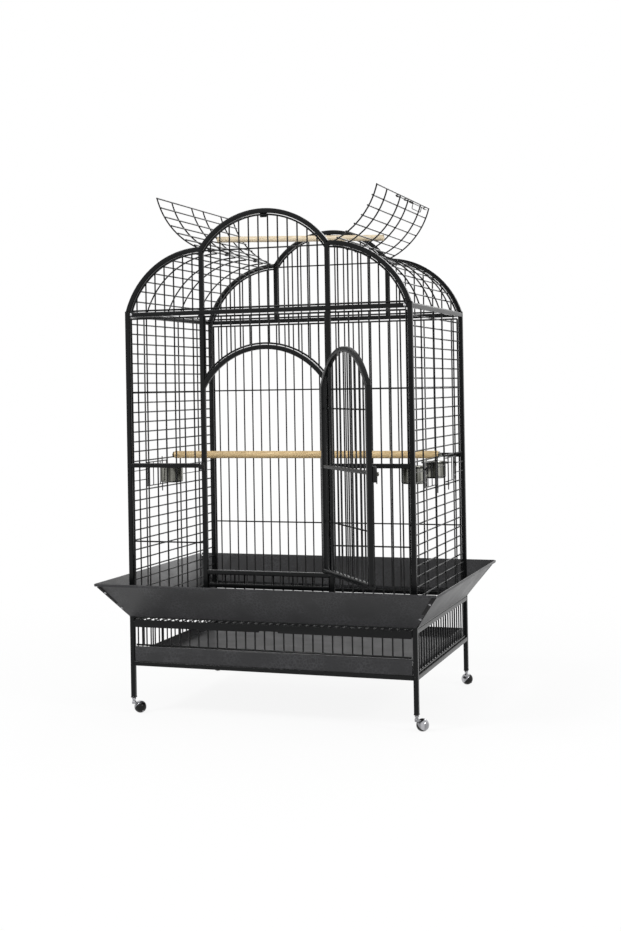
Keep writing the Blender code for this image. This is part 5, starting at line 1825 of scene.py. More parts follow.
@dataclass
class FrontSill:
    """Sill under the door, the rail below it, and the bars and band between them."""

    band: float = 0.4615
    band_height: float = 0.013

    def build(self, shop: Workshop) -> None:
        """Builds and hands over the sill."""
        y = -CAGE.half_depth
        half = CAGE.opening_half - CAGE.gap
        edge = half - 0.002
        parts = [level_rail(y, z, half) for z in (CAGE.bottom_rail, CAGE.sill)]
        low = CAGE.bar_foot
        high = CAGE.sill - CAGE.half_rail + SEAT
        for x in (-edge, edge):
            parts.append(wire((x, y, low), (x, y, high), CAGE.edge_radius))
        outer = y - CAGE.layer
        corner = (-edge, outer - CAGE.wire / 2, self.band - self.band_height / 2)
        parts.append(box(corner, (edge, outer + CAGE.wire / 2, self.band + self.band_height / 2), 0.0008))
        places = even_places(-CAGE.mid_post, CAGE.mid_post, CAGE.pitch)
        parts.append(comb(y + CAGE.layer, places, low, high))
        shop.hand_over(parts, "front_sill_grille", "cage", Slot.POWDER, "front_sill")


@dataclass
class ArchPanel:
    """Three-lobed top of the front or rear, with its rail, posts, edge wires and bars."""

    end: End
    level_wire: float = 1.607
    foot_angle: float = radians(16.0) + 0.012

    def build(self, shop: Workshop) -> None:
        """Builds and hands over the arch."""
        way = self.end.value
        y = way * CAGE.half_depth
        inner, outer = y - way * CAGE.layer, y + way * CAGE.layer
        parts = self._tubes(y)
        parts += self._edge_wires(y)
        lobe_edge = CAGE.lobe_radius - CAGE.edge_inset
        dome_edge = CAGE.dome_radius - CAGE.edge_inset
        foot = CAGE.top_rail + CAGE.half_rail - SEAT
        middle = even_places(-CAGE.mid_post, CAGE.mid_post, CAGE.pitch)
        parts += arch_comb(inner, middle, lambda x: foot, arc_height(CAGE.dome_centre, dome_edge))
        right = even_places(CAGE.mid_post, CAGE.half_width, CAGE.pitch)
        height = arc_height(CAGE.lobe_centre, lobe_edge, CAGE.mid_post)
        parts += arch_comb(inner, right + [-x for x in right], lambda x: foot, height)
        span = (dome_edge**2 - (self.level_wire - CAGE.dome_centre) ** 2) ** 0.5
        parts.append(wire((-span, outer, self.level_wire), (span, outer, self.level_wire)))
        spot = Vector((middle[0], y, self.level_wire))
        parts.append(weld_spots(spot, (len(middle),), (RIGHT * (middle[1] - middle[0]),)))
        if self.end is End.FRONT:
            parts += self._screws(shop)
        name = self.end.word + "_arch"
        shop.hand_over(parts, name + "_tubes", "cage", Slot.POWDER, name)

    def _tubes(self, y: float) -> list[Piece]:
        """The rail, the two short posts and the three bent tubes."""
        parts = [level_rail(y, CAGE.top_rail, CAGE.clear_half)]
        base = CAGE.top_rail + CAGE.half_tube + CAGE.gap
        for side in (-1, 1):
            x = side * CAGE.mid_post
            low, high = (x, y, CAGE.top_rail + 0.005), (x, y, CAGE.kink - 0.004)
            parts.append(square_tube(low, high, CAGE.tube - 0.0004))
            centre = Vector((x, y, CAGE.lobe_centre))
            across = RIGHT * side
            lobe = bent_tube(centre, self.foot_angle, pi / 2, CAGE.lobe_radius, CAGE.tube, across, 26)
            parts.append(lobe)
            corner = x + side * (CAGE.half_width - CAGE.mid_post)
            parts.append(square_tube((corner, y, base), (corner, y, base + 0.004)))
        kink = acos(CAGE.mid_post / CAGE.dome_radius)
        centre = Vector((0.0, y, CAGE.dome_centre))
        parts.append(bent_tube(centre, kink, pi - kink, CAGE.dome_radius, CAGE.tube, RIGHT, 34))
        return parts

    def _edge_wires(self, y: float) -> list[Piece]:
        """The wires inside the bent tubes, on which the bars end."""
        lobe_edge = CAGE.lobe_radius - CAGE.edge_inset
        foot = asin((CAGE.top_rail + CAGE.half_rail - 0.001 - CAGE.lobe_centre) / lobe_edge)
        head = acos((CAGE.half_tube - 0.002) / lobe_edge)
        parts = []
        for side in (-1, 1):
            centre = Vector((side * CAGE.mid_post, y, CAGE.lobe_centre))
            parts.append(bent_wire(centre, foot, head, lobe_edge, RIGHT * side, CAGE.edge_radius, steps=26))
        dome_edge = CAGE.dome_radius - CAGE.edge_inset
        start = acos((CAGE.mid_post - CAGE.half_tube + 0.002) / dome_edge)
        centre = Vector((0.0, y, CAGE.dome_centre))
        parts.append(bent_wire(centre, start, pi - start, dome_edge, RIGHT, CAGE.edge_radius, steps=34))
        low = CAGE.top_rail + CAGE.edge_inset
        reach = CAGE.mid_post + (lobe_edge**2 - (low - CAGE.lobe_centre) ** 2) ** 0.5
        parts.append(wire((-reach, y, low), (reach, y, low), CAGE.edge_radius))
        return parts

    def _screws(self, shop: Workshop) -> list[Piece]:
        """Plated screws on the front of the rail, at the corners."""
        face = -CAGE.half_depth - CAGE.half_rail
        screws = []
        for x in (0.016 - CAGE.half_width, CAGE.half_width - 0.016):
            screws.append(shop.silver(screw_head(Vector((x, face, CAGE.top_rail)), -BACK, 0.0030)))
        return screws


@dataclass
class RearPanel:
    """Rear of the cage: rails, edge wires, bars and cross wires."""

    def build(self, shop: Workshop) -> None:
        """Builds and hands over the rear panel."""
        y = CAGE.half_depth
        edge = CAGE.half_width - CAGE.edge_inset
        low = CAGE.bar_foot
        parts = [level_rail(y, z, CAGE.clear_half) for z in (CAGE.bottom_rail, CAGE.crossbar)]
        for x in (-edge, edge):
            parts.append(wire((x, y, low), (x, y, CAGE.top_edge), CAGE.edge_radius))
        parts.append(wire((-edge, y, CAGE.top_edge), (edge, y, CAGE.top_edge), CAGE.edge_radius))
        right = [CAGE.mid_post] + even_places(CAGE.mid_post, CAGE.half_width, CAGE.pitch)
        middle = even_places(-CAGE.mid_post, CAGE.mid_post, CAGE.pitch)
        rows = [middle, right, [-x for x in reversed(right)]]
        for row in rows:
            parts += bay_bars(y - CAGE.layer, row)
            for z in (CAGE.low_wire, CAGE.high_wire):
                step = RIGHT * (row[1] - row[0])
                parts.append(weld_spots(Vector((row[0], y, z)), (len(row),), (step,)))
        for z in (CAGE.low_wire, CAGE.high_wire):
            parts.append(wire((-edge, y + CAGE.layer, z), (edge, y + CAGE.layer, z)))
        shop.hand_over(parts, "rear_panel_grille", "cage", Slot.POWDER, "rear_panel")


# Roof


@dataclass
class RoofGrille:
    """What the fixed roof sides and the flaps share: curved wires over rods."""

    wire_places: tuple[float, float] = (0.055, 0.234)
    edge_place: float = 0.362

    def curved(
        self, centre: Vector, across: Vector, radius: float, start: float, end: float
    ) -> list[Piece]:
        """Six curved wires from front to rear.

        Args:
            centre: Centre of the curve.
            across: Direction of angle zero.
            radius: Radius of the wires' centre line.
            start: Angle of one end.
            end: Angle of the other end.

        Returns:
            The wires.
        """
        parts = []
        for y in (*self.wire_places, self.edge_place):
            first = bent_wire(centre - BACK * y, start, end, radius, across, steps=16)
            parts += [first, copy_of(first, BACK * (2 * y))]
        return parts

    def rods(
        self, centre: Vector, across: Vector, radius: float, angles: Sequence[float]
    ) -> list[Piece]:
        """Straight rods under the curved wires, with weld beads at every crossing.

        Args:
            centre: Centre of the curve.
            across: Direction of angle zero.
            radius: Radius of the layer of rods.
            angles: Their angles.

        Returns:
            The rods and the beads.
        """
        parts = []
        for angle in angles:
            out = across * cos(angle) + UP * sin(angle)
            middle = centre + out * radius
            reach = BACK * (self.edge_place + CAGE.wire / 2)
            parts.append(wire(middle - reach, middle + reach, CAGE.coated_radius, 1.0))
            for y in (*self.wire_places, self.edge_place):
                spot = middle + out * (CAGE.wire + CAGE.gap) / 2 - BACK * y
                parts.append(weld_spots(spot, (2,), (BACK * (2 * y),)))
        return parts


@dataclass
class RoofSide(RoofGrille):
    """Fixed curved side of the roof, from the side rail up to the hinge rod."""

    side: Side = Side.LEFT
    drop: float = 0.0028
    rod_pitch: float = 0.039
    hinge_rod: float = 0.0022

    def build(self, shop: Workshop) -> None:
        """Builds and hands over the roof side."""
        side = self.side.value
        radius = CAGE.lobe_radius - self.drop
        centre = Vector((side * CAGE.mid_post, 0.0, CAGE.lobe_centre))
        across = RIGHT * side
        foot = asin((CAGE.top_rail + CAGE.half_tube + CAGE.gap + 0.002 - CAGE.lobe_centre) / radius)
        head = pi / 2
        reach = CAGE.half_depth - CAGE.half_tube - CAGE.gap
        parts = self.curved(centre, across, radius, foot, head)
        angles = even_places(foot, head, self.rod_pitch / radius)
        parts += self.rods(centre, across, radius - CAGE.wire - CAGE.gap, angles)
        low = centre + across * (radius * cos(foot)) + UP * (radius * sin(foot))
        parts.append(wire(low - BACK * reach, low + BACK * reach, 0.0020))
        top = Vector((side * CAGE.mid_post, 0.0, CAGE.kink))
        parts.append(wire(top - BACK * reach, top + BACK * reach, self.hinge_rod, 1.3))
        name = "roof_panel_" + self.side.word
        shop.hand_over(parts, name + "_grille", "cage", Slot.POWDER, name)


@dataclass
class RoofFlap(RoofGrille):
    """Hinged roof flap, modelled closed and then opened; the right one carries the bolt's guides."""

    side: Side = Side.LEFT
    opening: float = radians(104.0)
    meeting: float = 0.0035
    hinge_step: float = 0.0055
    rod_pitch: float = 0.038
    rod_count: int = 6
    sleeve_places: tuple[float, float] = (0.145, 0.300)
    sleeve_radius: float = 0.0034
    sleeve_length: float = 0.014
    guide_places: tuple[float, ...] = (-0.055, 0.055, 0.340)
    guide_radius: float = 0.0036
    guide_wire: float = 0.0011

    def run_angle(self, run: float) -> float:
        """Angle of a point this far along the closed flap from its hinge."""
        return pi / 2 - asin(CAGE.mid_post / CAGE.dome_radius) + run / CAGE.dome_radius

    @property
    def full_run(self) -> float:
        """Length of the flap along its curve."""
        radius = CAGE.dome_radius
        return radius * (asin(CAGE.mid_post / radius) - asin(self.meeting / radius))

    @property
    def hinge(self) -> Vector:
        """A point of the flap's hinge axis."""
        return Vector((self.side.value * CAGE.mid_post, 0.0, CAGE.kink))

    def open_up(self, part: Piece) -> Piece:
        """Turns a closed part to the open flap's place."""
        return swing(part, self.hinge, BACK, self.side.value * self.opening)

    def build(self, shop: Workshop) -> None:
        """Builds and hands over the flap."""
        side = self.side.value
        centre = Vector((0.0, 0.0, CAGE.dome_centre))
        across = RIGHT * side
        radius = CAGE.dome_radius
        near, end = self.run_angle(self.hinge_step), self.run_angle(self.full_run)
        parts = self.curved(centre, across, radius, near, end)
        angles = [self.run_angle(self.full_run - k * self.rod_pitch) for k in range(1, self.rod_count + 1)]
        parts += self.rods(centre, across, radius - CAGE.wire - CAGE.gap, angles)
        for angle in (near, end):
            spot = centre + (across * cos(angle) + UP * sin(angle)) * radius
            reach = BACK * (self.edge_place + CAGE.wire / 2)
            parts.append(wire(spot - reach, spot + reach, CAGE.coated_radius, 1.0))
        parts += self._sleeves()
        if self.side is Side.RIGHT:
            parts += self._guides()
        for part in parts:
            self.open_up(part)
        name = "flap_" + self.side.word
        shop.hand_over(parts, name + "_grille", name, Slot.POWDER, name)

    def _sleeves(self) -> list[Piece]:
        """Wire curls that turn on the hinge rod."""
        parts = []
        for place in self.sleeve_places:
            for way in (-1, 1):
                start = self.hinge + BACK * (way * place - self.sleeve_length / 2)
                curl = bent_wire(start, 0.1, 2 * pi - 0.1, self.sleeve_radius, RIGHT, 0.0010, steps=20)
                parts.append(repeat(curl, 7, BACK * (self.sleeve_length / 6)))
        return parts

    def _guides(self) -> list[Piece]:
        """Wire staples that hold the bolt under the free edge."""
        parts = []
        bolt_z = CAGE.bolt_height
        edge_z = CAGE.dome_top - CAGE.wire / 2
        for place in self.guide_places:
            for offset in (-0.003, 0.003):
                y = place + offset
                centre = Vector((CAGE.bolt_x, y, bolt_z))
                loop = bent_wire(centre, pi, 2 * pi, self.guide_radius, RIGHT, self.guide_wire, steps=14)
                parts.append(loop)
                for x in (CAGE.bolt_x - self.guide_radius, CAGE.bolt_x + self.guide_radius):
                    parts.append(wire((x, y, bolt_z), (x, y, edge_z), self.guide_wire, 1.2))
        return parts


@dataclass
class FlapBolt:
    """Sliding wire bolt of the right flap, with its spring and bent handle."""

    flap: RoofFlap
    radius: float = 0.0018
    ends: tuple[float, float] = (-0.075, 0.345)
    spring: tuple[float, float] = (0.120, 0.162)
    handle: tuple[float, float] = (0.170, 0.298)
    handle_drop: float = 0.020
    handle_wire: float = 0.0015
    bend: float = 0.006
    coil_radius: float = 0.0031
    coil_wire: float = 0.0007
    turns: int = 14

    def build(self, shop: Workshop) -> None:
        """Builds and hands over the bolt."""
        x, z = CAGE.bolt_x, CAGE.bolt_height
        parts = [wire((x, self.ends[0], z), (x, self.ends[1], z), self.radius, 0.75)]
        parts.append(self._coil(x, z))
        near, far = self.handle
        bend = self.bend
        reach = x + self.handle_drop
        for y in (near, far):
            parts.append(wire((x, y, z), (reach - bend, y, z), self.handle_wire, 1.25))
        parts.append(wire((reach, near + bend, z), (reach, far - bend, z), self.handle_wire, 1.0))
        for y, start, end in ((near + bend, 1.5 * pi, 2 * pi), (far - bend, 0.0, pi / 2)):
            centre = Vector((reach - bend, y, z))
            parts.append(bent_wire(centre, start, end, bend, RIGHT, self.handle_wire, BACK, 10))
        for part in parts:
            self.flap.open_up(part)
        shop.hand_over(parts, "flap_bolt_wire", "flap_bolt", Slot.CORNER, "flap_bolt")

    def _coil(self, x: float, z: float) -> Piece:
        """The spring on the bolt: a small circle wound along the rod."""
        start, end = self.spring
        middle = RIGHT * self.coil_radius
        clear_selection()
        bpy.ops.mesh.primitive_circle_add(vertices=8, radius=self.coil_wire, location=middle)
        coil = bpy.context.active_object
        with edit(coil):
            pick_all()
            bpy.ops.transform.rotate(value=pi / 2, orient_axis="X", center_override=middle)
        settle(coil)
        finish_with(
            coil,
            "SCREW",
            axis="Z",
            angle=2 * pi,
            steps=14,
            render_steps=14,
            iterations=self.turns,
            screw_offset=(end - start) / self.turns,
            use_merge_vertices=True,
        )
        with edit(coil):
            pick_edges(coil, lambda edge: edge.is_boundary)
            bpy.ops.mesh.edge_face_add()
        outward(coil)
        swing(coil, ORIGIN, RIGHT, -pi / 2)
        coil.location = (x, start, z)
        return settle(coil)


@dataclass
class FlapCatch:
    """Sheet catch inside the top of an arch, with a ledge for the closed flaps."""

    end: End
    half: float = 0.012
    ledge: float = 0.014
    low: float = 0.010
    rise: float = 0.006
    bore: float = 0.0024

    def build(self, shop: Workshop) -> None:
        """Builds and hands over the catch."""
        way = self.end.value
        face = way * (CAGE.half_depth - CAGE.half_tube - CAGE.gap)
        parts = [self._plate(way, face, CAGE.bolt_height - self.low, CAGE.dome_top + self.rise)]
        ledge_z = CAGE.dome_top + CAGE.wire / 2 - 2 * CAGE.wire - CAGE.gap - 0.0014
        ys = sorted((face - way * self.ledge, face - way * CAGE.sheet / 2))
        parts.append(box((-self.half, ys[0], ledge_z - CAGE.sheet), (self.half, ys[1], ledge_z), 0.0005))
        name = "flap_catch_" + self.end.word
        if self.end is End.REAR:
            self._drill(parts[0], Vector((CAGE.bolt_x, face, CAGE.bolt_height)))
            ring = Vector((CAGE.bolt_x, face - way * (CAGE.sheet + 0.0003), CAGE.bolt_height))
            parts.append(bent_wire(ring, 0.0, 2 * pi - 0.001, 0.0032, RIGHT, 0.0006, steps=24))
        shop.hand_over(parts, name + "_plate", "cage", Slot.POWDER, name)

    def _drill(self, plate: Piece, spot: Vector) -> None:
        """Cuts the hole that the bolt slides into."""
        drill = settle(add_cylinder(32, self.bore, 0.01, spot, (pi / 2, 0.0, 0.0)))
        finish_with(plate, "BOOLEAN", object=drill, operation="DIFFERENCE", solver="EXACT")
        bpy.data.objects.remove(drill)

    def _plate(self, way: int, face: float, low: float, high: float) -> Piece:
        """The plate with its corners rounded off."""
        ys = sorted((face, face - way * CAGE.sheet))
        middle = (0.0, sum(ys) / 2, (low + high) / 2)
        plate = settle(add_cube(middle, (2 * self.half, CAGE.sheet, high - low)))
        with edit(plate):
            pick_edges(plate, lambda edge: _runs_along(edge, BACK))
            bevel(0.003, 4)
        return plate


# Door


@dataclass
class Door:
    """The arched door with its hinges, lock and keeper, modelled closed and then opened."""

    gap: float = 0.003
    bar: float = 0.012
    wires: tuple[float, float] = (0.690, 1.062)
    opening: float = radians(127.0)
    hinge_forward: float = 0.0125
    hinge_aside: float = 0.0015
    hinge_heights: tuple[float, float] = (0.644, 1.087)
    hinge_length: float = 0.030
    pin: float = 0.0022
    lock_height: float = 0.865
    lock_size: tuple[float, float, float] = (0.022, 0.014, 0.050)
    lever: float = 0.030
    keeper_wide: float = 0.014

    @property
    def stile(self) -> float:
        """Place of the door's stiles either side of the middle."""
        return CAGE.opening_half - self.gap - CAGE.half_tube

    @property
    def radius(self) -> float:
        """Radius of the door's bent top."""
        return CAGE.opening_radius - CAGE.tube - self.gap

    @property
    def bottom(self) -> float:
        """Height of the door's bottom rail."""
        return CAGE.sill + CAGE.tube + self.gap

    @property
    def hinge(self) -> Vector:
        """A point of the hinge axis."""
        x = CAGE.opening_half - self.hinge_aside
        return Vector((x, -CAGE.half_depth - self.hinge_forward, 0.0))

    @property
    def front(self) -> float:
        """Plane just before the posts' front faces."""
        return -CAGE.half_depth - CAGE.half_tube - CAGE.gap

    def open_up(self, parts: Sequence[Piece]) -> list[Piece]:
        """Turns closed parts to the open door's place."""
        return [swing(part, self.hinge, UP, self.opening) for part in parts]

    def build(self, shop: Workshop) -> None:
        """Builds and hands over the door and what holds it."""
        shop.hand_over(self.open_up(self._leaf()), "door_leaf", "door", Slot.POWDER, "door")
        self._lock(shop)
        self._keeper(shop)
        for height, name in zip(self.hinge_heights, ("lower", "upper")):
            self._hinge(shop, height, "door_hinge_" + name)

    def _leaf(self) -> list[Piece]:
        """Frame, crossbar, cross wires, bars and hinge knuckles of the closed door."""
        y = -CAGE.half_depth
        stile, bottom = self.stile, self.bottom
        centre = Vector((0.0, y, CAGE.opening_centre))
        foot = acos(stile / self.radius)
        spring = CAGE.opening_centre + self.radius * sin(foot)
        half = CAGE.half_tube
        parts = [bent_tube(centre, foot, pi - foot, self.radius, CAGE.tube, RIGHT, 36)]
        parts.append(square_tube((-stile - half, y, bottom), (stile + half, y, bottom)))
        for x in (-stile, stile):
            parts.append(square_tube((x, y, bottom), (x, y, spring + 0.003)))
        reach = stile - half + SEAT
        parts.append(square_tube((-reach, y, CAGE.crossbar), (reach, y, CAGE.crossbar), self.bar, 0.0015))
        places = even_places(-stile, stile, CAGE.pitch)
        step = RIGHT * (places[1] - places[0])
        for z in self.wires:
            parts.append(wire((-reach, y - CAGE.layer, z), (reach, y - CAGE.layer, z)))
            parts.append(weld_spots(Vector((places[0], y, z)), (len(places),), (step,)))
        inner = y + CAGE.layer
        parts.append(comb(inner, places, bottom + half - SEAT, CAGE.crossbar - self.bar / 2 + SEAT))
        under = arc_height(CAGE.opening_centre, self.radius - half + 0.001)
        parts += arch_comb(inner, places, lambda x: CAGE.crossbar + self.bar / 2 - SEAT, under)
        for z in self.hinge_heights:
            parts += self._knuckle(z)
        return parts

    def _knuckle(self, z: float) -> list[Piece]:
        """Leaf plate and rolled knuckle at one hinge.

        Args:
            z: Height of the hinge.

        Returns:
            The plate and the knuckle.
        """
        half = self.hinge_length / 4 - CAGE.gap
        face = -CAGE.half_depth - CAGE.half_tube
        low = (self.stile - 0.003, face - 0.0025, z - half + CAGE.gap)
        plate = box(low, (self.hinge.x - 0.0027, face + 0.0005, z + half - CAGE.gap), 0.0005)
        roll = ring_sleeve(self.hinge + UP * z, UP, 0.0026, 0.0042, 2 * half)
        return [plate, roll]

    def _hinge(self, shop: Workshop, z: float, name: str) -> None:
        """Hinge plate on the post with two knuckles and the pin.

        Args:
            shop: Finishes and shift.
            z: Height of the hinge.
            name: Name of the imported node.
        """
        half = self.hinge_length / 2
        low = (CAGE.opening_half + 0.0035, self.front - 0.002, z - half)
        parts = [box(low, (CAGE.mid_post + CAGE.half_tube - 0.0005, self.front, z + half), 0.0005)]
        for way in (-1, 1):
            middle = z + way * (half * 0.75)
            parts.append(ring_sleeve(self.hinge + UP * middle, UP, 0.0023, 0.0036, half / 2 - 0.0006))
            reach = half / 4 - 0.0005
            arm_low = (self.hinge.x + 0.001, self.front - 0.0022, middle - reach)
            parts.append(box(arm_low, (CAGE.mid_post, self.front - 0.0004, middle + reach)))
            spot = Vector((CAGE.mid_post + 0.0040, self.front - 0.002, z + way * half * 0.45))
            parts.append(screw_head(spot, -BACK, 0.0019))
        top = self.hinge + UP * (z + half - 0.0006)
        bottom = self.hinge + UP * (z - half + 0.0006)
        parts.append(wire(bottom, top, self.pin, 1.25))
        shop.hand_over(parts, name + "_plate", "cage", Slot.CORNER, name)

    def _lock(self, shop: Workshop) -> None:
        """Lock case on the free stile and the turning lever on its front."""
        wide, deep, tall = self.lock_size
        x = -self.stile
        low = (x - wide / 2, self.front - deep, self.lock_height - tall / 2)
        high = (x + wide / 2, self.front, self.lock_height + tall / 2)
        parts = [box(low, high, 0.0028)]
        for way in (-1, 1):
            spot = Vector((x, self.front - deep + 0.0003, self.lock_height + way * tall * 0.36))
            parts.append(shop.silver(screw_head(spot, -BACK, 0.0022)))
        shop.hand_over(self.open_up(parts), "door_lock_case", "door", Slot.CORNER, "door_lock")

        face = self.front - deep - CAGE.gap
        axis = Vector((x, face, self.lock_height))
        lever = self.open_up([self._knob(axis), self._paddle(axis)])
        shop.hand_over(lever, "door_lock_lever", "door_lock_turn", Slot.STEEL, "door_lock_turn")

    def _knob(self, axis: Vector) -> Piece:
        """Turned knob: a cylinder with a stepped, dished front.

        Args:
            axis: Middle of its back face.

        Returns:
            The knob.
        """
        knob = add_cylinder(32, 0.0065, 0.007, axis - BACK * 0.0035, (pi / 2, 0.0, 0.0))
        with edit(knob):
            pick(knob, lambda spot: spot.z > 0.0030)
            bpy.ops.mesh.inset(thickness=0.0012)
            bpy.ops.mesh.inset(thickness=0.0006, depth=-0.0009)
            pick(knob, lambda spot: abs(spot.z) > 0.0034 and spot.xy.length > 0.006)
            bevel(0.0006, 2)
        return outward(settle(knob))

    def _paddle(self, axis: Vector) -> Piece:
        """Lever that hangs from the knob, narrower and rounded at its tip."""
        half = 0.0035
        near, far = axis.y - CAGE.gap, axis.y - 0.003
        paddle = box((axis.x - half, far, axis.z - self.lever), (axis.x + half, near, axis.z), 0.0006)
        with edit(paddle):
            pick(paddle, lambda spot: spot.z < axis.z - self.lever + 0.002)
            bpy.ops.transform.resize(value=(0.65, 1.0, 1.0), center_override=(axis.x, near, axis.z))
        return paddle

    def _keeper(self, shop: Workshop) -> None:
        """Keeper on the left mid post: a folded strap round the slot for the lever."""
        deep = self.lock_size[1]
        left = -CAGE.mid_post - CAGE.half_tube
        right = left + self.keeper_wide
        slot_near = self.front - deep - CAGE.gap / 2
        slot_far = slot_near - 0.003 - 0.0012
        low, high = self.lock_height - 0.012, self.lock_height + 0.016
        slot_top = self.lock_height + 0.0045
        parts = [box((left, slot_near + 0.0004, low), (right, self.front, high), 0.0012)]
        parts.append(box((left, slot_far - 0.003, low), (right, slot_far, high), 0.0012))
        parts.append(box((left, slot_far - 0.0020, slot_top), (right, slot_near + 0.0015, high), 0.0010))
        for z in (low + 0.004, high - 0.004):
            spot = Vector(((left + right) / 2, slot_far - 0.003, z))
            parts.append(shop.silver(screw_head(spot, -BACK, 0.0017)))
        shop.hand_over(parts, "door_keeper_strap", "cage", Slot.CORNER, "door_keeper")


def ring_sleeve(
    centre: Vector, axis: Vector, inside: float, outside: float, length: float
) -> Piece:
    """A short tube with softened ends.

    Args:
        centre: Its middle.
        axis: Direction of its bore.
        inside: Radius of the bore.
        outside: Outer radius.
        length: Its length.

    Returns:
        The sleeve.
    """
    sleeve = settle(add_cylinder(24, outside, length, centre, turn_to(axis), "NOTHING"))
    thicken(sleeve, outside - inside, -1.0)
    return soften(sleeve, 0.0003, 1, 60)


# Perches


@dataclass
class InnerPerch:
    """Round wooden perch between the side panels, with a bolt and washers at each end."""

    radius: float = 0.0135
    height: float = 0.889
    washer: float = 0.0115

    def build(self, shop: Workshop) -> None:
        """Builds and hands over the perch and its bolts."""
        half = CAGE.half_width - CAGE.layer - CAGE.wire / 2 - CAGE.gap
        dowel = turned_dowel(Vector((0.0, 0.0, self.height)), self.radius, -half, half)
        piece = paint(dowel, shop.coats["inner_wood"])
        shop.hand_over([piece], "inner_perch_dowel", "cage", Slot.WOOD, "inner_perch")
        for side in Side:
            self._bolt(shop, side)

    def _bolt(self, shop: Workshop, side: Side) -> None:
        """Hex bolt with a washer, outside one panel.

        Args:
            shop: Finishes and shift.
            side: Which panel.
        """
        way = RIGHT * side.value
        inner = CAGE.half_width - CAGE.layer - CAGE.wire / 2
        face = CAGE.half_width - CAGE.layer + CAGE.wire / 2 + CAGE.gap
        middle = UP * self.height
        shank = wire(middle + way * inner, middle + way * (face + 0.001), 0.0024, 1.0)
        turn = turn_to(way)
        washer = settle(add_cylinder(32, self.washer, 0.0016, middle + way * (face + 0.0008), turn))
        soften(washer, 0.0004, 2, 60)
        head = add_cylinder(6, 0.0052, 0.0040, middle + way * (face + 0.0036), turn)
        with edit(head):
            pick(head, lambda spot: spot.z > 0.0015)
            bpy.ops.mesh.inset(thickness=0.0006)
            bpy.ops.transform.translate(value=way * 0.0003)
        settle(head)
        name = "perch_bolt_" + side.word
        shop.hand_over([shank, washer, head], name + "_hex", "cage", Slot.STEEL, name)


@dataclass
class PlayPerch:
    """Dowel that lies across the two open flaps."""

    radius: float = 0.011
    middle: tuple[float, float, float] = (0.0, 0.030, 1.6761014)
    slope: float = -0.0392875
    ends: tuple[float, float] = (-0.330, 0.311)

    def build(self, shop: Workshop) -> None:
        """Builds and hands over the perch."""
        middle = Vector(self.middle)
        dowel = turned_dowel(middle, self.radius, *self.ends)
        along = Vector((1.0, 0.0, self.slope)).normalized()
        swing(dowel, middle, BACK, RIGHT.angle(along))
        piece = paint(dowel, shop.coats["play_wood"])
        shop.hand_over([piece], "play_perch_dowel", "play_perch", Slot.WOOD, "play_perch")


def turned_dowel(middle: Vector, radius: float, start: float, stop: float) -> Piece:
    """A wooden dowel along X with chamfered ends and a slightly uneven surface.

    Args:
        middle: A point of its axis.
        radius: Its radius.
        start: Where it starts, from middle along X.
        stop: Where it stops.

    Returns:
        The dowel.
    """
    halfway = middle + RIGHT * ((start + stop) / 2)
    dowel = settle(add_cylinder(40, radius, stop - start, halfway, (0.0, pi / 2, 0.0)))
    cuts = 24
    with edit(dowel):
        for k in range(1, cuts):
            pick_all()
            cut = middle + RIGHT * (start + (stop - start) * k / cuts)
            bpy.ops.mesh.bisect(plane_co=cut, plane_no=RIGHT)
        for k in range(1, cuts):
            place = middle.x + start + (stop - start) * k / cuts
            pick(dowel, lambda spot: abs(spot.x - place) < 1e-4)
            swell = 1.0 + 0.006 * sin(2.3 * k) - 0.006
            bpy.ops.transform.resize(value=(1.0, swell, swell), center_override=middle)
    return soften(dowel, 0.0016, 3, 60)


# Feeders


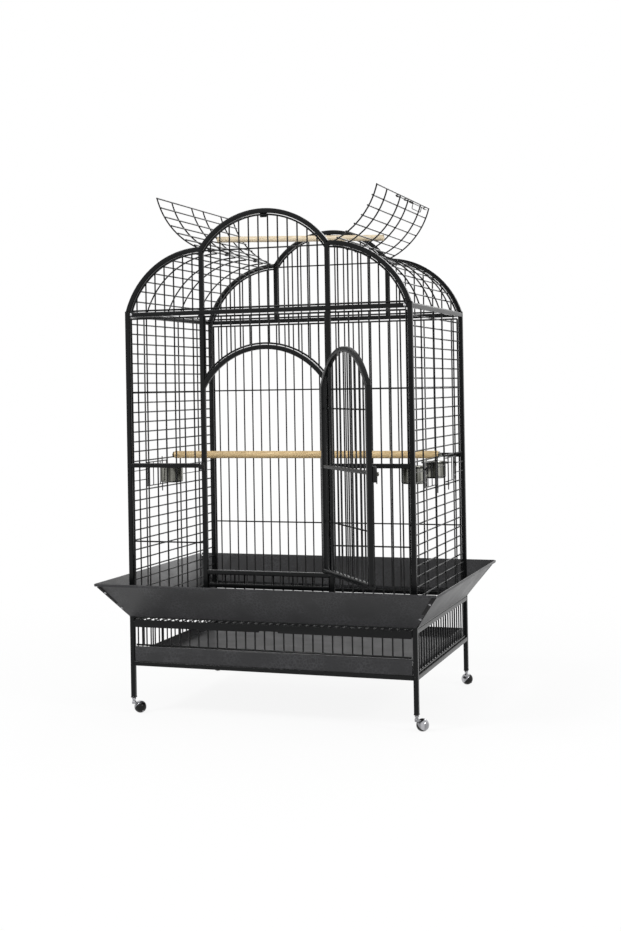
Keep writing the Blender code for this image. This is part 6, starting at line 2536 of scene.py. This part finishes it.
@dataclass
class Feeder:
    """Swing-out feeder door with its ring, latch plate and pull, and the cup that it holds."""

    name: str
    side: Side
    way: int
    opening: float = 0.176
    heights: tuple[float, float] = (0.786, 0.874)
    rod: float = 0.0020
    cup_x: float = 0.452
    cup_radius: float = 0.042
    cup_height: float = 0.060
    cup_top: float = 0.857
    cup_rim: float = 0.0045
    cup_lip: float = 0.0025
    ring_radius: float = 0.0450
    ring_wire: float = 0.004
    ring_arm: float = 0.030
    pull_x: float = 0.5155
    pull_y: float = 0.223
    pull_z: float = 0.850
    pull_radius: float = 0.009

    def build(self, shop: Workshop) -> None:
        """Builds and hands over the door, the cup and the pull."""
        door_body = "feeder_door_" + self.name
        shop.hand_over(self._door(shop), door_body + "_wires", door_body, Slot.POWDER, door_body)
        cup_body = "feeder_cup_" + self.name
        shop.hand_over([self._cup()], cup_body + "_bowl", cup_body, Slot.STEEL, cup_body)
        pull_body = "feeder_pull_" + self.name
        shop.hand_over([self._pull()], pull_body + "_ring", pull_body, Slot.CORNER, pull_body)

    def _door(self, shop: Workshop) -> list[Piece]:
        """Wires, ring, hinge rod and latch plate of the feeder door."""
        side, way = self.side.value, self.way
        x = side * (CAGE.half_width + CAGE.layer)
        near = CAGE.feeder_place - self.opening / 2 + CAGE.wire / 2
        far = CAGE.feeder_place + self.opening / 2 - CAGE.wire / 2
        low, high = (self.heights[0] + CAGE.wire / 2, self.heights[1] - CAGE.wire / 2)
        radius = CAGE.wire / 2
        parts = []
        for z in (low, high):
            ends = sorted((way * near, way * far))
            parts.append(wire((x, ends[0] - radius, z), (x, ends[1] + radius, z), radius, 1.0))
        for y in (near, far):
            parts.append(wire((x, way * y, low), (x, way * y, high), radius, 1.0))
        hinge = Vector((side * (CAGE.half_width + CAGE.feeder_hinge_out), way * CAGE.feeder_hinge, 0.0))
        for z in (low, high):
            parts.append(wire((x, hinge.y, z), (hinge.x, hinge.y, z), 0.0016, 1.2))
        foot, head = self.heights[0] - 0.026, self.heights[1] + 0.013
        parts.append(wire(hinge + UP * foot, hinge + UP * head, self.rod, 0.8))
        ring_z = self.cup_top - self.cup_lip - CAGE.gap - self.ring_wire / 2
        centre = Vector((side * self.cup_x, way * CAGE.feeder_place, ring_z))
        almost_round = 2 * pi - 0.0005
        thickness = self.ring_wire / 2
        parts.append(bent_wire(centre, 0.0, almost_round, self.ring_radius, RIGHT, thickness, BACK, 56))
        reach = (self.ring_radius**2 - self.ring_arm**2) ** 0.5
        for offset in (-self.ring_arm, self.ring_arm):
            y = centre.y + offset
            parts.append(wire((x, y, low), (x, y, high), 0.0017))
            parts.append(wire((centre.x + side * reach, y, ring_z), (x, y, ring_z), 0.0017))
        parts += self._latch(shop, x, low, high)
        return parts

    def _latch(self, shop: Workshop, x: float, low: float, high: float) -> list[Piece]:
        """Latch plate with the eye of the pull ring.

        Args:
            shop: Finishes and shift.
            x: Plane of the feeder door.
            low: Lower end of the plate.
            high: Upper end of the plate.

        Returns:
            The plate, its eye and its rivet.
        """
        side, way = self.side.value, self.way
        y = way * self.pull_y
        half = CAGE.sheet / 2
        plate = box((x - half, y - 0.010, low), (x + half, y + 0.010, high), 0.0004)
        eye = ring_sleeve(Vector((side * self.pull_x, y, self.pull_z)), BACK, 0.0018, 0.0036, CAGE.sheet)
        xs = sorted((x, side * (self.pull_x - 0.0022)))
        neck = box((xs[0], y - half, self.pull_z - 0.003), (xs[1], y + half, self.pull_z + 0.003), 0.0003)
        rivet = screw_head(Vector((x + side * half, y, low + 0.016)), RIGHT * side, 0.0024)
        return [plate, eye, neck, shop.silver(rivet)]

    def _cup(self) -> Piece:
        """Spun steel cup: drawn up ring by ring from its base, over the rim and down inside."""
        base = self.cup_top - self.cup_height
        spot = Vector((self.side.value * self.cup_x, self.way * CAGE.feeder_place, base))
        outer, inner = self.cup_radius, self.cup_radius - 0.0010
        lip = self.cup_height - self.cup_lip
        rim = outer + self.cup_rim
        profile = [
            (outer - 0.0060, 0.0),
            (outer - 0.0025, 0.0012),
            (outer - 0.0008, 0.0038),
            (outer, 0.0080),
            (outer, lip - 0.0008),
            (outer + 0.0008, lip),
            (rim - 0.0008, lip),
            (rim, lip + 0.0008),
            (rim, self.cup_height - 0.0008),
            (rim - 0.0008, self.cup_height),
            (inner + 0.0020, self.cup_height),
            (inner, self.cup_height - 0.0020),
            (inner, 0.0090),
            (inner - 0.0010, 0.0048),
            (inner - 0.0050, 0.0016),
            (inner - 0.0090, 0.0010),
        ]
        return drawn_shell(spot, profile, 48)

    def _pull(self) -> Piece:
        """Bent wire ring with a butt joint at its foot."""
        height = self.pull_z - self.pull_radius
        centre = Vector((self.side.value * self.pull_x, self.way * self.pull_y, height))
        return bent_wire(centre, -pi / 2 + 0.04, 1.5 * pi - 0.04, self.pull_radius, BACK, 0.0009, steps=40)


def drawn_shell(spot: Vector, profile: Sequence[tuple[float, float]], steps: int) -> Piece:
    """A round vessel drawn from a disc: each step lifts the last ring and sets its radius.

    Args:
        spot: Middle of its base.
        profile: Radius and height of each ring, from the base outwards.
        steps: Facets round it.

    Returns:
        The closed shell.
    """
    clear_selection()
    bpy.ops.mesh.primitive_circle_add(
        vertices=steps, radius=profile[0][0], fill_type="NGON", location=spot + UP * profile[0][1]
    )
    shell = made()
    with edit(shell):
        pick_all()
        for (r0, z0), (r1, z1) in zip(profile, profile[1:]):
            extrude(UP * (z1 - z0))
            bpy.ops.transform.resize(value=(r1 / r0, r1 / r0, 1.0), center_override=spot)
    return outward(shell)


# Casters


@dataclass
class Caster:
    """Ball caster: a bright hood with its stem, and a black half-ball wheel on a tilted axle."""

    name: str
    x_side: int
    y_side: int
    heading: float
    tilt_side: int
    ball: float = 0.021
    trail: float = 0.0264
    tilt: float = radians(40.0)
    split: float = 0.0005
    hood_proud: float = 0.0006
    hood_wall: float = 0.0018
    stem: float = 0.0075
    arm_heights: tuple[float, float] = (0.0350, 0.0450)
    neck: float = 0.0050
    hub_sink: float = 0.000045

    @property
    def stem_foot(self) -> Vector:
        """Where the stem's axis meets the floor."""
        return Vector((self.x_side * CAGE.half_width, self.y_side * CAGE.half_depth, 0.0))

    @property
    def trail_way(self) -> Vector:
        """Level direction from the stem to the wheel."""
        return Vector((cos(self.heading), sin(self.heading), 0.0))

    @property
    def ball_centre(self) -> Vector:
        """Middle of the ball."""
        return self.stem_foot + self.trail_way * self.trail + UP * self.ball

    @property
    def axle(self) -> Vector:
        """Direction of the axle, towards the hood."""
        level = self.trail_way.cross(UP) * self.tilt_side
        return (level * cos(self.tilt) + UP * sin(self.tilt)).normalized()

    def build(self, shop: Workshop) -> None:
        """Builds and hands over the hood and the wheel."""
        hood_body = "caster_hood_" + self.name
        hood = [self._hood(), self._stem(), self._neck()]
        shop.hand_over(hood, hood_body + "_shell", hood_body, Slot.CHROME, hood_body)
        wheel_body = "caster_wheel_" + self.name
        wheel = [self._wheel(), shop.silver(self._hub())]
        shop.hand_over(wheel, wheel_body + "_ball", wheel_body, Slot.BLACK, wheel_body)

    def _half_ball(self, radius: float, cut: float, keep_hood: bool) -> Piece:
        """Half of a sphere whose poles lie on the axle.

        Args:
            radius: The sphere's radius.
            cut: Where it is cut along the axle.
            keep_hood: Whether the hood's half stays, open, or the wheel's half, closed.

        Returns:
            The half sphere.
        """
        clear_selection()
        bpy.ops.mesh.primitive_uv_sphere_add(
            segments=40,
            ring_count=24,
            radius=radius,
            location=self.ball_centre,
            rotation=turn_to(self.axle),
        )
        half = made()
        with edit(half):
            pick_all()
            bpy.ops.mesh.bisect(
                plane_co=self.ball_centre + self.axle * cut,
                plane_no=self.axle,
                use_fill=not keep_hood,
                clear_inner=keep_hood,
                clear_outer=not keep_hood,
            )
        return half

    def _hood(self) -> Piece:
        """Pressed hood with a rounded rim."""
        shell = self._half_ball(self.ball + self.hood_proud, self.split, True)
        thicken(shell, self.hood_wall, -1.0, even=True)
        return soften(shell, 0.0005, 2, 60)

    def _wheel(self) -> Piece:
        """Half ball with a groove round its tread and a sunk hub face."""
        wheel = self._half_ball(self.ball, -self.split, False)
        with edit(wheel):
            face_plane = self.ball_centre - self.axle * self.split
            pick(wheel, lambda spot: abs((spot - face_plane).dot(self.axle)) < SAME_SPOT)
            bpy.ops.mesh.inset(thickness=0.0016)
            bpy.ops.mesh.inset(thickness=0.0008, depth=-0.0008)
            pole = self.ball_centre - self.axle * self.ball
            pick(wheel, lambda spot: (spot - pole).length < 0.0065)
            bpy.ops.mesh.inset(thickness=0.0009, depth=-0.0009)
        return outward(wheel)

    def _hub(self) -> Piece:
        """Plated axle end in the middle of the wheel, cut just beside its sphere's middle ring."""
        pole = self.ball_centre - self.axle * (self.ball - 0.0012)
        clear_selection()
        bpy.ops.mesh.primitive_uv_sphere_add(
            segments=20,
            ring_count=10,
            radius=0.0030,
            location=pole - self.axle * self.hub_sink,
            rotation=turn_to(self.axle),
        )
        hub = made()
        with edit(hub):
            pick_all()
            bpy.ops.mesh.bisect(plane_co=pole, plane_no=self.axle, use_fill=True, clear_outer=True)
        return outward(hub)

    def _stem(self) -> Piece:
        """Collar, neck ring and the short plated stem under the leg's plug."""
        low = self.arm_heights[0] + CAGE.gap
        height = CAGE.leg_bottom - CAGE.gap - low
        outline = [
            (0.80, 0.0),
            (1.0, 0.0010),
            (1.0, 0.0095),
            (0.88, 0.0105),
            (0.62, 0.0110),
            (0.62, 0.0150),
            (0.95, 0.0155),
            (0.95, height - 0.0012),
            (0.80, height),
        ]
        profile = [(self.stem * share, rise) for share, rise in outline]
        return drawn_shell(self.stem_foot + UP * low, profile, 32)

    def _neck(self) -> Piece:
        """Cast arm from the collar to the hood, deeper where it joins the hood."""
        low, high = self.arm_heights
        middle = self.stem_foot + self.trail_way * (self.trail * 0.45) + UP * ((low + high) / 2 - 0.001)
        size = (self.trail * 0.72, 2 * self.neck, high - low - 0.001)
        neck = add_cube(middle, size, (0.0, 0.0, self.heading))
        with edit(neck):
            pick(neck, lambda spot: spot.x > 0)
            bpy.ops.transform.resize(value=(1.0, 1.0, 0.72), center_override=self.ball_centre)
        return soften(settle(neck), 0.0022, 3, 30)


# Studio


@dataclass(frozen=True)
class Studio:
    """Camera at the photograph's angle, pale floor and soft plain light."""

    camera_place: tuple[float, float, float] = (1.6679, -4.9344, 1.1311)
    yaw: float = radians(19.703)
    pitch: float = radians(-0.037)
    roll: float = radians(-0.947)
    focal_pixels: float = 1433.35
    middle: tuple[float, float] = (275.58, 387.43)
    image: tuple[int, int] = (621, 931)
    sensor: float = 36.0
    floor_radius: float = 60.0
    floor_shade: Colour = (0.92, 0.92, 0.92, 1.0)
    shadow_reach: tuple[float, float] = (0.9, 3.0)
    floor_glow: float = 0.90
    surround: float = 0.55
    aim: tuple[float, float, float] = (0.0, 0.0, 0.9)

    def build(self, shift: Vector) -> None:
        """Sets up camera, floor, world and lamps.

        Args:
            shift: From the cage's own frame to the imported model's.
        """
        self._camera(shift)
        self._floor()
        self._world()
        self._lamp("key_light", (-2.6, -3.4, 4.2), 1.2, 150.0)
        self._lamp("side_light", (4.2, -1.6, 2.8), 1.1, 80.0)
        self._lamp("back_light", (0.6, 4.6, 3.6), 2.6, 60.0)
        bpy.context.scene.view_settings.view_transform = "Standard"

    def _camera(self, shift: Vector) -> None:
        """Places the camera as the photograph's was."""
        ahead = Vector((-sin(self.yaw), cos(self.yaw), 0.0))
        forward = ahead * cos(self.pitch) - UP * sin(self.pitch)
        level = Vector((cos(self.yaw), sin(self.yaw), 0.0))
        upright = level.cross(forward)
        right = level * cos(self.roll) + upright * sin(self.roll)
        up = upright * cos(self.roll) - level * sin(self.roll)
        data = bpy.data.cameras.new("photo_camera")
        long_side = max(self.image)
        data.sensor_width = self.sensor
        data.lens = self.focal_pixels * self.sensor / long_side
        data.shift_x = (self.image[0] / 2 - self.middle[0]) / long_side
        data.shift_y = (self.middle[1] - self.image[1] / 2) / long_side
        data.clip_end = 200.0
        camera = bpy.data.objects.new("photo_camera", data)
        bpy.context.scene.collection.objects.link(camera)
        turn = Matrix((right, up, -forward)).transposed()
        camera.matrix_world = Matrix.Translation(Vector(self.camera_place) + shift) @ turn.to_4x4()
        bpy.context.scene.camera = camera

    def _floor(self) -> None:
        """Pale floor that keeps the shadow near the cage and is plain white far from it."""
        clear_selection()
        bpy.ops.mesh.primitive_circle_add(
            vertices=64, radius=self.floor_radius, fill_type="NGON", location=ORIGIN
        )
        floor = bpy.context.active_object
        floor.name = "floor"
        paper = bpy.data.materials.new("pale_floor")
        paper.use_nodes = True
        tree = paper.node_tree
        shader = tree.nodes["Principled BSDF"]
        shader.inputs["Base Color"].default_value = self.floor_shade
        shader.inputs["Roughness"].default_value = 0.9
        shader.inputs["Specular IOR Level"].default_value = 0.0
        output = tree.nodes["Material Output"]
        place = add_node(tree, "TexCoord")
        length = add_node(tree, "VectorMath", operation="LENGTH")
        fade = add_node(tree, "MapRange", interpolation_type="SMOOTHSTEP")
        glow = add_node(tree, "Emission")
        path = add_node(tree, "LightPath")
        seen = add_node(tree, "Math", operation="MAXIMUM")
        far = add_node(tree, "Math", operation="MULTIPLY")
        mix = add_node(tree, "MixShader")
        connect(
            tree,
            (place.outputs["Object"], length.inputs[0]),
            (length.outputs["Value"], fade.inputs["Value"]),
            (self.shadow_reach[0], fade.inputs["From Min"]),
            (self.shadow_reach[1], fade.inputs["From Max"]),
            (self.floor_glow, fade.inputs["To Min"]),
            (path.outputs["Is Camera Ray"], seen.inputs[0]),
            (path.outputs["Is Glossy Ray"], seen.inputs[1]),
            (seen.outputs[0], far.inputs[0]),
            (fade.outputs["Result"], far.inputs[1]),
            (far.outputs[0], mix.inputs["Fac"]),
            (shader.outputs[0], mix.inputs[1]),
            (glow.outputs[0], mix.inputs[2]),
            (mix.outputs[0], output.inputs["Surface"]),
        )
        paint(floor, paper)

    def _world(self) -> None:
        """Plain white world, at full strength only where it is seen or mirrored."""
        world = bpy.data.worlds.new("plain_studio")
        world.use_nodes = True
        bpy.context.scene.world = world
        tree = world.node_tree
        background = tree.nodes["Background"]
        background.inputs["Color"].default_value = (1.0, 1.0, 1.0, 1.0)
        path = add_node(tree, "LightPath")
        seen = add_node(tree, "Math", operation="MAXIMUM")
        also = add_node(tree, "Math", operation="MAXIMUM")
        strength = add_node(tree, "MapRange")
        connect(
            tree,
            (path.outputs["Is Camera Ray"], seen.inputs[0]),
            (path.outputs["Is Glossy Ray"], seen.inputs[1]),
            (seen.outputs[0], also.inputs[0]),
            (path.outputs["Is Transmission Ray"], also.inputs[1]),
            (also.outputs[0], strength.inputs["Value"]),
            (self.surround, strength.inputs["To Min"]),
            (strength.outputs["Result"], background.inputs["Strength"]),
        )

    def _lamp(self, name: str, place: Sequence[float], size: float, power: float) -> None:
        """A soft square lamp that looks at the middle of the cage.

        Args:
            name: The lamp's name.
            place: Where it hangs.
            size: Width of its square.
            power: Its power in watts.
        """
        data = bpy.data.lights.new(name, "AREA")
        data.shape = "SQUARE"
        data.size = size
        data.energy = power
        lamp = bpy.data.objects.new(name, data)
        bpy.context.scene.collection.objects.link(lamp)
        lamp.location = place
        lamp.rotation_euler = (Vector(self.aim) - Vector(place)).to_track_quat("-Z", "Y").to_euler()


# Assembly


def clear_leftovers() -> None:
    """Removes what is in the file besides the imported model."""
    kept = set(frame["nodes"].values()) | set(frame["bodies"].values())
    for item in list(bpy.data.objects):
        if item not in kept:
            bpy.data.objects.remove(item)


def cage_shift() -> Vector:
    """The step from the cage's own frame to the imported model's, read off a stand frame."""
    low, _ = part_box("stand_frame_left")
    leg = Vector((-CAGE.half_width, -CAGE.half_depth, CAGE.leg_bottom))
    return low - leg + (RIGHT + BACK) * CAGE.half_tube


def mix_coats() -> dict[str, Material]:
    """Builds every finish once."""
    groups = GroupRack()
    play = PlayPerch()
    # the second colour of each is its painted dark reflection
    chrome = BrightSteel("bright_chrome", (0.46, 0.46, 0.48, 1.0), (0.24, 0.24, 0.25, 1.0), 0.05, 0.12)
    zinc = BrightSteel("zinc_plate", (0.42, 0.42, 0.43, 1.0), (0.28, 0.28, 0.29, 1.0), 0.18, 0.34)
    return {
        Slot.POWDER.value: PowderCoat().material(groups),
        Slot.SHEET.value: SheetPaint().material(groups),
        Slot.CORNER.value: CornerPaint().material(groups),
        Slot.STEEL.value: BrightSteel("spun_steel").material(groups),
        Slot.CHROME.value: chrome.material(groups),
        Slot.BLACK.value: BlackNylon().material(groups),
        Slot.WOOD.value: PaleWood("perch_wood", 0.0, 0.0).material(groups),
        "plated": zinc.material(groups),
        "inner_wood": PaleWood("inner_perch_wood", WOOD_Y, InnerPerch().height).material(groups),
        "play_wood": PaleWood(
            "play_perch_wood",
            WOOD_Y + play.middle[1],
            play.middle[2],
            early=(0.76, 0.65, 0.47, 1.0),
            late=(0.52, 0.40, 0.25, 1.0),
            pore=(0.32, 0.23, 0.13, 1.0),
            bleached=(0.82, 0.72, 0.54, 1.0),
        ).material(groups),
    }


def main() -> None:
    """Builds every sub-assembly in order, from the floor up."""
    logging.basicConfig(level=logging.INFO, format="%(message)s")
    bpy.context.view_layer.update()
    clear_leftovers()
    shift = cage_shift()
    shop = Workshop(shift, mix_coats())
    Studio().build(shift)
    casters = (
        ("fl", -1, -1, radians(60.0), -1),
        ("fr", 1, -1, radians(60.0), 1),
        ("rl", -1, 1, radians(96.0), -1),
        ("rr", 1, 1, radians(96.0), -1),
    )
    for entry in casters:
        Caster(*entry).build(shop)
    for side in Side:
        StandSide(side).build(shop)
    StandEnds().build(shop)
    FloorGrate().build(shop)
    SlideTray().build(shop)
    for quarter, place in enumerate(("front", "right", "rear", "left")):
        SeedGuard("seed_guard_" + place, quarter).build(shop)
    for name, x_side, y_side, *_ in casters:
        GuardCorner("guard_corner_" + name, x_side, y_side).build(shop)
    SidePanel(Side.LEFT, (-1,)).build(shop)
    SidePanel(Side.RIGHT, (-1, 1)).build(shop)
    for side in Side:
        FrontBay(side).build(shop)
    FrontHeader().build(shop)
    FrontSill().build(shop)
    for end in End:
        ArchPanel(end).build(shop)
    RearPanel().build(shop)
    for side in Side:
        RoofSide(side=side).build(shop)
        RoofFlap(side=side).build(shop)
    FlapBolt(RoofFlap(side=Side.RIGHT)).build(shop)
    for end in End:
        FlapCatch(end).build(shop)
    Door().build(shop)
    InnerPerch().build(shop)
    PlayPerch().build(shop)
    Feeder("right_front", Side.RIGHT, -1).build(shop)
    Feeder("right_rear", Side.RIGHT, 1).build(shop)
    Feeder("left_front", Side.LEFT, -1).build(shop)


if __name__ == "__main__":
    main()
